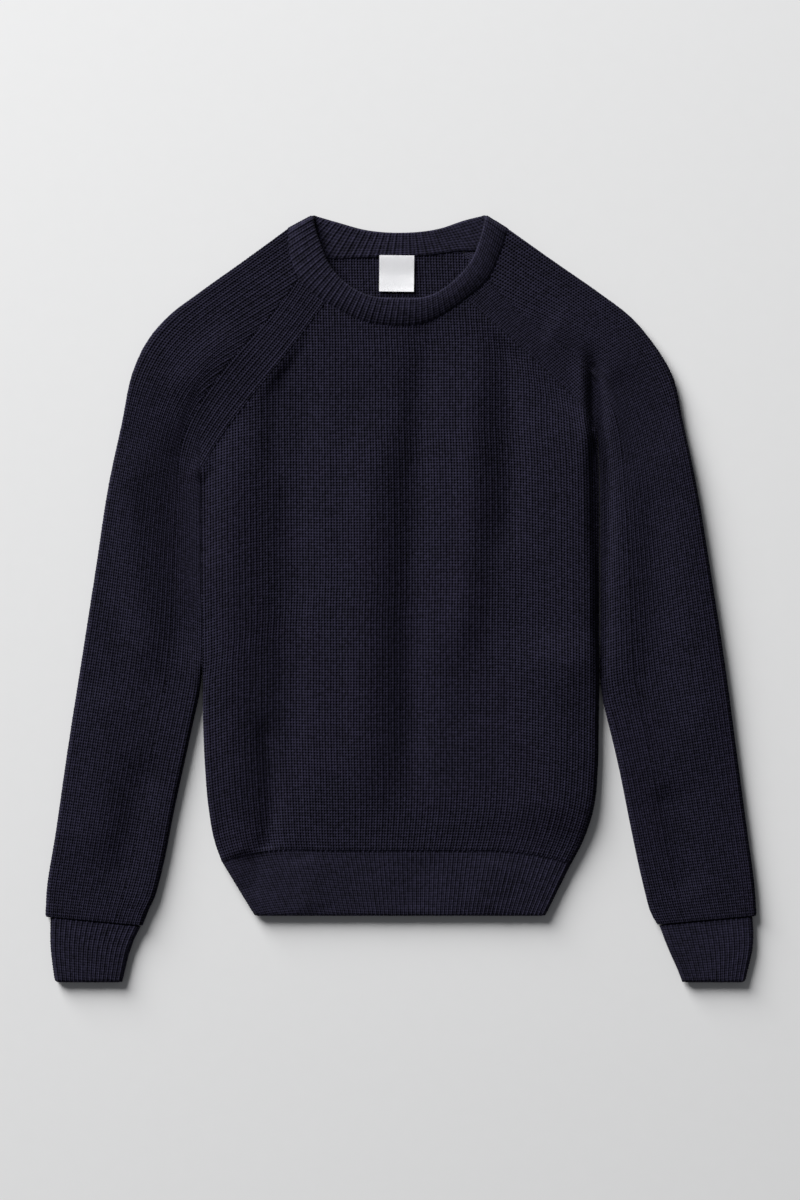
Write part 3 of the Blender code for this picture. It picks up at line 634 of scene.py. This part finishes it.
def sew(name, groups, material):
    """One piece of cloth from groups of wales, each group closed on its own."""
    points, coordinates, faces, rims = [], [], [], []
    count = 0
    for wales in groups:
        chains = []
        for face in ("outer", "inner"):
            used, ids, keys = [], {}, {}
            for k, wale in enumerate(wales):
                stations = getattr(wale, "keep_" + face)
                if len(stations) == 0:
                    continue
                used.append(k)
                ids[k] = np.arange(count, count + len(stations))
                keys[k] = wale.v[stations]
                points.append(getattr(wale, face)[stations])
                coordinates.append(np.column_stack([np.full(len(stations), wale.u), keys[k]]))
                count += len(stations)
            for a, b in zip(used[:-1], used[1:]):
                faces += strip(keys[a], ids[a], keys[b], ids[b])
            chains.append((used, ids, keys))
        (outer, outer_ids, outer_keys), (inner, inner_ids, inner_keys) = chains
        for end in (0, -1):
            rims += stitch(outer, [outer_ids[k][end] for k in outer],
                           inner, [inner_ids[k][end] for k in inner])
        for k in (outer[0], outer[-1]):
            rims += stitch(outer_keys[k], outer_ids[k], inner_keys[k], inner_ids[k])
    return add_piece(name, np.vstack(points), faces, np.vstack(coordinates), material, rims)


def add_piece(name, points, faces, coordinates, material, rims=()):
    """One object from points in millimetres, standing for the solid of its name.

    Its rims are flat faces, and no point lies below the floor.
    """
    mesh = bpy.data.meshes.new(name)
    every_face = [tuple(int(i) for i in face) for face in [*faces, *rims]]
    points[:, 2] = np.maximum(points[:, 2], 0.0)
    mesh.from_pydata((points * MM).tolist(), [], every_face)
    shape = bmesh.new()
    shape.from_mesh(mesh)
    bmesh.ops.recalc_face_normals(shape, faces=shape.faces)
    shape.to_mesh(mesh)
    shape.free()
    corner = np.empty(len(mesh.loops), np.int32)
    mesh.loops.foreach_get("vertex_index", corner)
    layer = mesh.uv_layers.new(name="stitches")
    layer.data.foreach_set("uv", coordinates[corner].astype(np.float32).ravel())
    mesh.shade_smooth()
    mesh.polygons.foreach_set("use_smooth", np.arange(len(every_face)) < len(faces))
    mesh.materials.append(material)
    piece = bpy.data.objects.new(name, mesh)
    bpy.context.scene.collection.objects.link(piece)
    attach(piece, "root")
    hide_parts(name)
    return piece


class Shader:
    """Short names for building one material's node network."""

    def __init__(self, name):
        self.material = bpy.data.materials.new(name)
        self.material.use_nodes = True
        self.tree = self.material.node_tree
        self.surface = self.tree.nodes["Principled BSDF"]

    def feed(self, node, values):
        """Links or sets a node's sockets, by name or number."""
        for socket, value in values.items():
            if isinstance(value, bpy.types.NodeSocket):
                self.tree.links.new(value, node.inputs[socket])
            else:
                node.inputs[socket].default_value = value

    def node(self, kind, values=(), **settings):
        made = self.tree.nodes.new("ShaderNode" + kind)
        for key, value in settings.items():
            setattr(made, key, value)
        self.feed(made, dict(values))
        return made

    def math(self, operation, *values, clamp=False):
        return self.node("Math", enumerate(values), operation=operation, use_clamp=clamp).outputs[0]

    def times(self, first, second):
        return self.math("MULTIPLY", first, second)

    def plus(self, first, second):
        return self.math("ADD", first, second)

    def added(self, total, *weighted):
        """A total with values added to it, each times its weight."""
        for value, weight in weighted:
            total = self.math("MULTIPLY_ADD", value, weight, total)
        return total

    def from_half(self, value):
        """How far a number's fraction is from one half."""
        return self.math("ABSOLUTE", self.math("SUBTRACT", self.math("FRACT", value), 0.5))

    def step(self, *values):
        """A smooth step of a value between low and high, from one number to another."""
        made = self.node("MapRange", enumerate(values), interpolation_type="SMOOTHSTEP")
        return made.outputs[0]

    def mix(self, share, first, second):
        sockets = {"Factor": share, "A": (*first, 1.0), "B": (*second, 1.0)}
        return self.node("Mix", sockets, data_type="RGBA").outputs["Result"]

    def axes(self, vector):
        return self.node("SeparateXYZ", {0: vector}).outputs[:2]

    def noise(self, scale, detail, place):
        sockets = {"Scale": scale, "Detail": detail, "Vector": place}
        return self.node("TexNoise", sockets).outputs["Fac"]

    def bump(self, strength, distance, height):
        sockets = {"Strength": strength, "Distance": distance, "Height": height}
        return self.node("Bump", sockets).outputs[0]


def yarn_material(name, rib_width, course, holes):
    """Wool knit: stitches drawn from rib and course numbers, with a soft nap and painted shade in its holes
    and grooves.
    """
    yarn = Shader(name)
    u, v = yarn.axes(yarn.node("UVMap", uv_map="stitches").outputs[0])
    place = yarn.node("TexCoord").outputs["Object"]
    wales = yarn.times(u, 2.0)
    # Distance from the nearest hole between stitches, in millimetres
    across = yarn.times(yarn.from_half(wales), 0.5 * rib_width)
    along = yarn.times(yarn.from_half(yarn.plus(v, 0.5)), course)
    square = yarn.plus(yarn.times(yarn.times(across, across), 2.2), yarn.times(along, along))
    hole = yarn.step(yarn.math("SQRT", square), 0.35, 1.35, holes, 0.0)
    # Every stitch catches the light a little differently
    cell = {0: yarn.math("FLOOR", yarn.plus(wales, 0.5)), 1: yarn.math("FLOOR", v)}
    cell = yarn.node("CombineXYZ", cell).outputs[0]
    chance = yarn.node("TexWhiteNoise", {"Vector": cell}, noise_dimensions="2D").outputs["Value"]
    # 0 in the groove between two wales, 1 on their crowns
    crown = yarn.step(across, 0.15, 0.45 * 0.5 * rib_width, 0.0, 1.0)
    # Two legs of each stitch lean in to a V on the wale's middle line
    phase = yarn.math("SUBTRACT", yarn.times(v, 2.0 * math.pi), yarn.times(across, 1.25))
    legs = yarn.math("SINE", phase)
    ply = yarn.math("SINE", yarn.plus(yarn.times(phase, 3.0), yarn.times(across, 5.0)))
    fibre = yarn.noise(1900.0, 3.0, place)
    tuft = yarn.noise(420.0, 2.0, place)
    drift = yarn.noise(26.0, 2.0, place)
    height = yarn.added(yarn.times(crown, 0.6), (legs, 0.22), (ply, 0.07), (fibre, 0.5), (tuft, 0.35),
                        (hole, -0.9))
    # Yarn a little lighter on its crowns and darker between stitches: painted shade in the grooves between
    # wales and in the holes between stitches, over a random tone of fibres, tufts and stitches
    shade = yarn.added(yarn.times(tuft, 0.35), (fibre, 0.7), (crown, 0.25), (drift, 0.25),
                       (chance, 0.35), (legs, 0.10), (hole, -0.9))
    share = yarn.step(shade, 0.25, 1.35, 0.0, 1.0)
    yarn.feed(yarn.surface, {
        "Base Color": yarn.mix(share, NAVY_DARK_AND_SHADE, NAVY_LIGHT),
        "Normal": yarn.bump(0.9, 0.0006, height),
        "Roughness": 0.93,
        "Specular IOR Level": 0.12,
        "Sheen Weight": SHEEN,
        "Sheen Roughness": 0.45,
        "Sheen Tint": (0.30, 0.30, 0.42, 1.0),
    })
    return yarn.material


def tape_material(name):
    """Woven label tape, with the spacing of its warp and weft in metres."""
    tape = Shader(name)
    place = tape.node("TexCoord").outputs["Object"]
    x, y = tape.axes(place)
    warp = tape.math("SINE", tape.times(x, 2.0 * math.pi / 0.00045))
    weft = tape.math("SINE", tape.times(y, 2.0 * math.pi / 0.0006))
    weave = tape.times(warp, weft)
    grain = tape.noise(900.0, 2.0, place)
    share = tape.math("MULTIPLY_ADD", weave, 0.15, grain, clamp=True)
    pale = [0.96 * level for level in TAPE_COLOUR]
    tape.feed(tape.surface, {
        "Base Color": tape.mix(share, pale, TAPE_COLOUR),
        "Normal": tape.bump(0.35, 0.0002, tape.added(weave, (grain, 0.8))),
        "Roughness": 0.75,
        "Sheen Weight": 0.15,
    })
    return tape.material


def body_grid(raglan, band_seam, shares, rows, band_tuck=TUCK):
    """Base grid of a body panel, hem to neck, which reaches over or under its seams."""
    sides = [smooth_curve(BODY_SIDE[side])[::-1] for side in (LEFT, RIGHT)]
    hem = moved_aside(smooth_curve(HEM_SEAM), TUCK)
    left, right = smooth_curve(raglan[LEFT]), smooth_curve(raglan[RIGHT])
    band = smooth_curve(band_seam)
    inside = (band[:, 0] > left[-1, 0] + 0.5) & (band[:, 0] < right[-1, 0] - 0.5)
    tuck = np.full((len(left) + inside.sum() + len(right), 1), TUCK)
    tuck[len(left):-len(right)] = band_tuck
    top = moved_aside(np.vstack([left, band[inside], right[::-1]]), -tuck)

    def across(share, y):
        edges = [np.interp(y, side[:, 1], side[:, 0]) for side in sides]
        return edges[0] + share * (edges[1] - edges[0])

    def end_height(share, seam):
        y = np.full(np.shape(share), seam[:, 1].mean())
        for _ in range(12):
            y = np.interp(across(share, y), seam[:, 0], seam[:, 1])
        return y

    grid = []
    for along in evenly(rows):
        def place(share, along=along):
            share = np.asarray(share, float)
            low = end_height(share, hem)
            y = low + along * (end_height(share, top) - low)
            return np.stack([across(share, y), y], axis=-1)
        ends = place(np.array([0.0, 1.0]))
        near = (FOLD_RADIUS, armpit_turn(ends[0], LEFT))
        far = (VALLEY_RADIUS, armpit_turn(ends[1], RIGHT))
        grid.append(lay_row(place, shares, near, far))
    return np.array(grid)


def seam_groove(lines):
    """A soft groove of the cloth's face along seam lines, where its knit is pressed flat."""
    joined = np.vstack(lines)

    def groove(points):
        gaps = np.full(len(points), 1e3)
        near = np.flatnonzero(points[:, 1] > joined[:, 1].min() - 3.0 * GROOVE_WIDTH)
        for part in np.array_split(near, 40):
            gaps[part] = np.linalg.norm(points[part][:, None] - joined, axis=-1).min(axis=1)
        near = np.exp(-(gaps / GROOVE_WIDTH) ** 2)
        return GROOVE_DEPTH * near, 1.0 - GROOVE_CALM * near
    return groove


def seam_beads(line):
    """A thin cord of the cloth's edge along a seam, with a raised stitch every few courses."""
    def groove(points):
        gap, along = gap_to(line, points)
        run = along * lengths_along(line)[-1]
        bead = np.clip(np.cos(2.0 * math.pi * run / BEAD_SPACING), 0.0, 1.0)
        bead = bead * ease((along - BEAD_START) / BEAD_FADE)
        rise = (BEAD_CORD + BEAD_HEIGHT * bead) * np.exp(-(gap / BEAD_WIDTH) ** 2)
        return np.where(points[:, 1] > line[:, 1].min() - 2.0, -rise, 0.0), 1.0
    return groove


def make_front(material):
    shares = evenly(4 * BODY.ribs + 1)
    grid = body_grid(RAGLAN_FRONT, BAND_FRONT_SEAM, shares, rows=90)
    groove = seam_groove([smooth_curve(knots, 60) for knots in RAGLAN_FRONT])
    wales = knit_layer("front", grid, shares * BODY.ribs, BODY, inner_keep=coarse(10, 30),
                       groove=groove, rounding=((3.5, 1.1), (0.6, 0.1)))
    piece = sew("front", [wales], material)


def make_back(material):
    shares = evenly(4 * BODY.ribs + 1)
    grid = body_grid(RAGLAN_BACK, BAND_BACK_SEAM, shares, rows=60, band_tuck=BACK_BAND_TUCK)
    plain = coarse(10, 24)

    def neck_window(number, values, last):
        if abs(values[-1, 0]) > NECK_HALF_WIDTH:
            return plain(number, values, last)
        first = int(np.searchsorted(values[:, 1], NECK_LOW))
        return [*range(0, first - 6, 24), *range(first, len(values))]

    wales = knit_layer("back", grid, shares * BODY.ribs, BODY, upper=False, outer_keep=plain,
                       inner_keep=neck_window, rounding=((0.6, 0.6), (0.6, 0.6)))
    piece = sew("back", [wales], material)


def make_hem(name, material, upper):
    seam = moved_aside(smooth_curve(HEM_SEAM), 0.5 * SEAM_GAP)
    free = np.array(HEM_EDGE)
    shares = evenly(6 * HEM.ribs + 1)
    edge = (HEM_RADIUS, 1.0)
    grid = []
    for along in evenly(24):
        def place(share, along=along):
            share = np.asarray(share, float)
            x = seam[0, 0] + share * (seam[-1, 0] - seam[0, 0])
            top = np.stack([x, np.interp(x, seam[:, 0], seam[:, 1])], axis=-1)
            bottom = free[0] + share[..., None] * (free[1] - free[0])
            return top + along * (bottom - top)
        grid.append(lay_row(place, shares, edge, edge))
    plain = coarse(15, 20)
    wales = knit_layer(name, np.array(grid), shares * HEM.ribs, HEM, upper=upper, inner_keep=plain,
                       outer_keep=every_one if upper else plain, rounding=((1.5, 0.25), (6.0, 1.8)))
    piece = sew(name, [wales], material)


def close_tube(name, upper_wales, rows, near, cloth, under_count):
    """The wales with those of the lower layer, rolled on from them round the outer fold."""
    under_shares = evenly(under_count + 1)[1:] ** 1.25
    grid = [lay_row(place, under_shares, near, far, near_out=near_out) for place, far, near_out in rows]
    keep = coarse(1, 12)
    wales = knit_layer(name, np.array(grid), cloth.ribs * (1.0 + under_shares), cloth, upper=False,
                       slit=0.0, outer_keep=keep, inner_keep=keep)
    return upper_wales + wales


def placer(shares, row):
    """A row's points as a function of the share of the way along it."""
    return lambda share: at_places(row, shares, share)


def marks_along(path, turn_length):
    """Even points along a column: HALF_ROWS of them up to a length, and as many after it."""
    turn = turn_length / lengths_along(path)[-1]
    return point_at(path, np.concatenate([np.linspace(0.0, turn, HALF_ROWS),
                                          np.linspace(turn, 1.0, HALF_ROWS + 1)[1:]]))


def beside(fold, fold_share, edge, edge_share, share):
    """A path a share of the way from the lower part of a fold to that of an edge."""
    steps = evenly(40)
    return point_at(fold, steps * fold_share) * (1.0 - share) + point_at(edge, steps * edge_share) * share


def ending_columns(fold, fold_turn, edge, edge_turn_share, neck_part, neck_share, shares):
    """Columns between a fold and an edge: the outer ones reach the neck, the inner ones end on the edge."""
    edge_high = point_at(edge, np.linspace(edge_turn_share, 1.0, 80))
    shoulder = point_at(fold, fold_turn)
    columns = []
    for share in shares:
        if share <= neck_share:
            end, reach = point_at(neck_part, share / neck_share), 1.0
        else:
            reach = 1.0 - (share - neck_share) / (1.0 - neck_share)
            end = point_at(edge_high, reach)
        low = beside(fold, fold_turn, edge, edge_turn_share, share)
        steps = evenly(len(low))
        high = point_at(fold, fold_turn + steps * reach * (1.0 - fold_turn))
        high = high + (low[-1] - shoulder) * (1.0 - steps[:, None]) + (end - high[-1]) * steps[:, None]
        path = np.vstack([low, high[1:]]) if reach > 1e-6 else np.vstack([low[:-1], edge_high[0]])
        path = softened(path, COLUMN_SOFTNESS, min(1.0, 6.0 * share * (1.0 - share)))
        columns.append(marks_along(path, CORNER_SHARE * lengths_along(low)[-1]))
    return np.array(columns).transpose(1, 0, 2)


def sleeve_edges(side, raglan, band_seam):
    """Fold, underarm with raglan seam, the underarm's length, and the neckband's seam from the fold on."""
    hand = 1.0 if side == LEFT else -1.0
    band = smooth_curve(band_seam)
    if side == RIGHT:
        band = band[::-1]
    seam = smooth_curve(raglan[side])
    neck_part = moved_aside(band, -TUCK * hand)[:nearest(band, seam[-1]) + 1]
    seam = moved_aside(seam, -(0.5 * SEAM_GAP + SLEEVE_ROOM) * hand)
    underarm = smooth_curve(UNDERARM[side])
    edge = np.vstack([underarm, seam[2:]])
    return smooth_curve(SLEEVE_FOLD[side]), edge, lengths_along(underarm)[-1], neck_part


def fashion_line(side, fold, armpit_share, edge, edge_share):
    """The line where a sleeve's outer ribs end, from cuff to neckband, and the number of its corner."""
    line = smooth_curve(FASHION_LINE[side])
    low = beside(fold, armpit_share, edge, edge_share, OUTER_SHARE)
    low = low[low[:, 1] < line[0, 1] - LINE_GAP]
    middle = softened(np.vstack([low, line]), LINE_SOFTNESS, 1.0)
    return middle, nearest(middle, line[len(line) // 4])


def sleeve_wales(name, rows, ribs, first_rib, skew_shares, side, fars, **knitting):
    """Wales of a part of a sleeve's upper layer, whose rows run from its outer line to its inner one."""
    shares = evenly(4 * ribs + 1)[::-1]
    known = evenly(rows.shape[1])
    near = (FOLD_RADIUS, 1.0 if first_rib else 0.0)
    grid = np.array([lay_row(placer(known, row), shares, near, far) for row, far in zip(rows, fars)])
    start, end = skew_shares
    course = SLEEVE.course * (1.0 - SLEEVE_SKEW[side] * (start + (end - start) * shares))
    wales = knit_layer(name, grid, first_rib + ribs * (1.0 - shares), SLEEVE._replace(course=course),
                       slit=0.0, inner_keep=coarse(8, 24), **knitting)
    return wales, grid


def under_rows(side, armpit_share, grid):
    """Rows of a sleeve's lower layer, each with its inner edge and its direction out of the fold."""
    fold, edge, length, neck_part = sleeve_edges(side, RAGLAN_BACK, BAND_BACK_SEAM)
    shares = evenly(LAID_COLUMNS)
    edge_share = length / lengths_along(edge)[-1]
    under = ending_columns(fold, armpit_share, edge, edge_share, neck_part, BACK_NECK_SHARE, shares)
    leans = grid[:, -1, 2:4]
    outs = leans / np.maximum(np.linalg.norm(leans, axis=1), 1e-6)[:, None]
    return [(placer(shares, row), (FOLD_RADIUS, armpit_turn(row[-1], side)), out)
            for row, out in zip(under, outs)]


def inner_rows(left, right, neck_part):
    """Rows of a sleeve's inner ribs: beside the underarm, then beside the raglan to the neckband."""
    high = np.concatenate([np.zeros(HALF_ROWS), evenly(HALF_ROWS + 1)[1:]])[:, None]
    start, length = INNER_PULL
    columns = []
    for share in evenly(15):
        path = left * (1.0 - share) + right * share
        end = point_at(neck_part, share)
        columns.append(path + (end - path[-1]) * ease((high - start) / length))
    return np.array(columns).transpose(1, 0, 2)


def make_sleeve(name, material, side):
    fold, edge, underarm_length, neck_part = sleeve_edges(side, RAGLAN_FRONT, BAND_FRONT_SEAM)
    armpit_share = share_at_height(fold, SHOULDER_ROW[side])
    middle, corner = fashion_line(side, fold, armpit_share, edge, underarm_length / lengths_along(edge)[-1])
    middle_turn = shares_along(middle)[corner]
    neck_mark = nearest(neck_part, middle[-1])
    neck_outer, neck_inner = neck_part[:neck_mark + 1], neck_part[neck_mark:]
    start, length = LINE_PULL
    to_neck = ease((shares_along(middle) - start) / length)[:, None]
    middle = middle + (neck_outer[-1] - middle[-1]) * to_neck
    outer = ending_columns(fold, share_at_height(fold, FASHION_ROW[side]), middle, middle_turn, neck_outer,
                           OUTER_NECK_SHARE, evenly(LAID_COLUMNS))
    outer_ribs = round(SLEEVE.ribs * OUTER_SHARE)
    inner_ribs = SLEEVE.ribs - outer_ribs
    wales, grid = sleeve_wales(name, outer, outer_ribs, inner_ribs, (0.0, OUTER_SHARE), side,
                               [(FOLD_RADIUS, 0.0)] * len(outer), rounding=((2.4, 1.0), (0.4, 0.1)))
    wales = close_tube(name, wales, under_rows(side, armpit_share, grid), (FOLD_RADIUS, 1.0), SLEEVE, 24)
    right = marks_along(edge, underarm_length)
    rows = inner_rows(marks_along(middle, lengths_along(middle)[corner]), right, neck_inner)
    radius = VALLEY_SLEEVE_RADIUS if side == RIGHT else FOLD_RADIUS
    fars = []
    for number, row in enumerate(rows):
        turn = armpit_turn(row[-1], side) if number < HALF_ROWS else 0.0
        fars.append((radius + (FOLD_RADIUS - radius) * edge_free(row[-1], side), turn))
    inner_wales, _ = sleeve_wales(name, rows, inner_ribs, 0, (OUTER_SHARE, 1.0), side, fars,
                                  rounding=((2.4, 1.0), (0.8, 0.4)), groove=seam_beads(right[HALF_ROWS:]))
    piece = sew(name, [wales, inner_wales], material)


def make_cuff(name, material, side):
    fold = smooth_curve(CUFF_FOLD[side])
    underarm = smooth_curve(CUFF_UNDERARM[side])
    shares = evenly(6 * CUFF.ribs + 1)[::-1]
    edge = (HEM_RADIUS, 1.0)
    grid, rows = [], []
    for along in evenly(20):
        ends = np.array([point_at(fold, along), point_at(underarm, along)])
        row = placer(np.array([0.0, 1.0]), ends)
        grid.append(lay_row(row, shares, edge, edge))
        rows.append((row, edge, unit(ends[0] - ends[1])))
    wales = knit_layer(name, np.array(grid), (1.0 - shares) * CUFF.ribs, CUFF, slit=0.0,
                       inner_keep=coarse(12, 24), rounding=((0.8, 0.5), (4.5, 2.6)))
    wales = close_tube(name, wales, rows, edge, CUFF, 12)
    piece = sew(name, [wales], material)


def band_place(seam, free, along):
    """A row of the neckband, a share of the way from its sewn edge to its free one."""
    def place(share):
        sewn = point_at(seam, share)
        return sewn + along * (point_at(free, share) - sewn)
    return place


def band_rows(alongs):
    """Middle of the neckband's wall and half its thickness, row by row, all the way round."""
    knots = (BAND_FRONT_SEAM, BAND_FRONT_EDGE, BAND_BACK_SEAM, BAND_BACK_EDGE)
    front_seam, front_edge, back_seam, back_edge = (smooth_curve(line) for line in knots)
    left_end = unit(front_edge[0] - front_seam[0])
    out = np.array([-left_end[1], left_end[0]])
    front_shares = evenly(BAND_PER_RIB * BAND_FRONT_RIBS + 1)
    back_shares = np.linspace(1.0, 0.0, BAND_PER_RIB * BAND_BACK_RIBS + 1)[-2:0:-1]
    edge = (BAND_RADIUS, 1.0)
    middles, halves = [], []
    for along in alongs:
        crown = BAND_CROWN * (4.0 * along * (1.0 - along) - 0.5) - BAND_SEWN_DROP * (1.0 - along) ** 3
        crown += BAND_TILT * along
        front = lay_row(band_place(front_seam, front_edge, along), front_shares, edge, edge, near_out=out)
        back = lay_row(band_place(back_seam, back_edge, along), back_shares, edge, edge)
        upper = cloth_faces(front, np.full(len(front), BAND_TOP + crown), BAND_TOP_WALL + min(crown, 1.0),
                            np.zeros(len(front)), BAND_PARTING, 0.0, True)
        lower = cloth_faces(back, None, BAND_BACK_WALL, np.zeros(len(back)), BAND_PARTING, 0.0, False)
        outer, inner = (np.vstack([above, below[::-1]]) for above, below in zip(upper, lower))
        middles.append(0.5 * (outer + inner))
        halves.append(0.5 * (outer - inner))
    return np.array(middles), np.array(halves)


def between_rows(rows, alongs, share):
    """The points of a grid a share of the way up its rows."""
    columns = rows.transpose(1, 2, 0)
    return np.array([[np.interp(share, alongs, run) for run in column] for column in columns])


def ring(count):
    """Each number below a count with the next one, the last with the first."""
    return list(zip(range(count), [*range(1, count), 0]))


def make_neckband(material):
    """A double band: its front lies on its back, folded over at both shoulders."""
    alongs = evenly(13)
    middles, halves = band_rows(alongs)
    total = middles.shape[1]
    u = np.arange(total) / BAND_PER_RIB
    # Stations round the band's cross-section: sewn edge, outer face, free edge, inner face
    ends = np.array([0.0, 0.35, 1.0, 1.8])
    face = np.linspace(BAND_EDGE, BAND_WIDTH - BAND_EDGE, 21)
    gaps = np.concatenate([ends, face, BAND_WIDTH - ends[::-1]])
    inside = np.clip(1.0 - np.minimum(gaps, BAND_WIDTH - gaps) / BAND_EDGE, 0.0, 1.0)
    fullness = np.sqrt(1.0 - inside**2)
    gaps = np.concatenate([gaps, gaps[-2:0:-1]])
    height = np.concatenate([fullness, -fullness[-2:0:-1]])
    v = gaps / HEM_COURSE
    loops = []
    for gap, lift, course in zip(gaps, height, v):
        middle = between_rows(middles, alongs, gap / BAND_WIDTH)
        half = between_rows(halves, alongs, gap / BAND_WIDTH)
        thick = np.maximum(np.linalg.norm(half, axis=1), 0.5)[:, None]
        relief = knit_relief(u, np.full(total, course), RIB_KNIT)
        relief = relief * (1.0 + BAND_UNEVEN_SHARE * rng.standard_normal(total))
        grow = (1.0 if lift >= 0 else -1.0) * relief * abs(lift)
        loops.append(middle + half * lift + half / thick * grow[:, None])
    count = len(loops)
    faces = [(s * total + c, s * total + d, t * total + d, t * total + c)
             for s, t in ring(count) for c, d in ring(total)]
    coordinates = np.column_stack([np.tile(u, count), np.repeat(v, total)])
    piece = add_piece("neckband", np.vstack(loops), faces, coordinates, material)


def make_label(material):
    """A bare woven tab, tacked to the inside of the back by its upper corners."""
    left, right, low, high = LABEL_BOX
    columns, rows = LABEL_CELLS
    turn = math.radians(LABEL_TURN)
    middle_x, middle_y = 0.5 * (left + right), 0.5 * (low + high)
    x, y = np.meshgrid(np.linspace(left, right, columns + 1), np.linspace(low, high, rows + 1))
    x, y = x.ravel() - middle_x, y.ravel() - middle_y
    plan_x = middle_x + x * math.cos(turn) - y * math.sin(turn)
    plan_y = middle_y + x * math.sin(turn) + y * math.cos(turn)
    # It rises towards its seam, and its free corners and lower edge lift a little
    z = BACK_WALL + 1.1 + 2.2 * ease((plan_y - 320.0) / 24.0)
    z = z + 0.5 * (x / 17.0) ** 2 * ease((330.0 - plan_y) / 20.0)
    z = z + 0.35 * ease((312.0 - plan_y) / 6.0)
    lower = np.column_stack([plan_x, plan_y, z])
    points = np.vstack([lower + (0.0, 0.0, LABEL_WALL), lower])
    size = len(lower)
    ids = np.arange(size).reshape(rows + 1, columns + 1)
    quads = np.stack([ids[:-1, :-1], ids[:-1, 1:], ids[1:, 1:], ids[1:, :-1]], axis=-1).reshape(-1, 4)
    rim = [*ids[0], *ids[1:, -1], *ids[-1, -2::-1], *ids[-2:0:-1, 0]]
    faces = [*quads, *(size + quads[:, ::-1])]
    faces += [(a, b, size + b, size + a) for a, b in zip(rim, rim[1:] + rim[:1])]
    piece = add_piece("label", points, faces, points[:, :2], material)
    piece.data.set_sharp_from_angle(angle=math.radians(50.0))


def linked(name, data):
    made = bpy.data.objects.new(name, data)
    bpy.context.scene.collection.objects.link(made)
    return made


def stage_scene():
    """Pale floor, soft key light from the upper left, and a camera straight above."""
    bpy.ops.mesh.primitive_plane_add(size=8.0, location=(0.0, 0.0, -0.0006))
    floor = bpy.context.object
    floor.name = "floor"
    paper = Shader("paper")
    grain = paper.noise(60.0, 2.0, paper.node("TexCoord").outputs["Object"])
    paper.feed(paper.surface, {
        "Base Color": paper.mix(grain, (0.80, 0.80, 0.80), (0.815, 0.815, 0.815)),
        "Roughness": 0.9,
        "Specular IOR Level": 0.1,
    })
    floor.data.materials.append(paper.material)

    key = bpy.data.lights.new("key", "AREA")
    key.shape = "DISK"
    key.size = 6.5
    key.energy = KEY_POWER
    lamp = linked("key", key)
    lamp.location = KEY_PLACE
    lamp.rotation_mode = "QUATERNION"
    lamp.rotation_quaternion = (-lamp.location).to_track_quat("-Z", "Y")

    world = bpy.data.worlds.new("room")
    world.use_nodes = True
    background = world.node_tree.nodes["Background"]
    background.inputs["Color"].default_value = (0.93, 0.95, 1.0, 1.0)
    background.inputs["Strength"].default_value = ROOM_LIGHT
    bpy.context.scene.world = world
    bpy.context.scene.view_settings.view_transform = "Standard"

    camera = bpy.data.cameras.new("camera")
    camera.sensor_fit = "VERTICAL"
    camera.sensor_height = 36.0
    camera.lens = 90.0
    eye = linked("camera", camera)
    eye.location = (-1.0 * MM, -1.5 * MM, 3.0)
    bpy.context.scene.camera = eye


def main():
    body = yarn_material("body_wool", rib_width=5.6, course=BODY.course, holes=1.0)
    rib = yarn_material("rib_wool", rib_width=4.4, course=HEM_COURSE, holes=0.25)
    tape = tape_material("label_tape")
    make_front(body)
    make_back(body)
    make_sleeve("sleeve_left", body, LEFT)
    make_sleeve("sleeve_right", body, RIGHT)
    make_neckband(rib)
    make_hem("hem_front", rib, upper=True)
    make_hem("hem_back", rib, upper=False)
    make_cuff("cuff_left", rib, LEFT)
    make_cuff("cuff_right", rib, RIGHT)
    make_label(tape)
    stage_scene()


main()
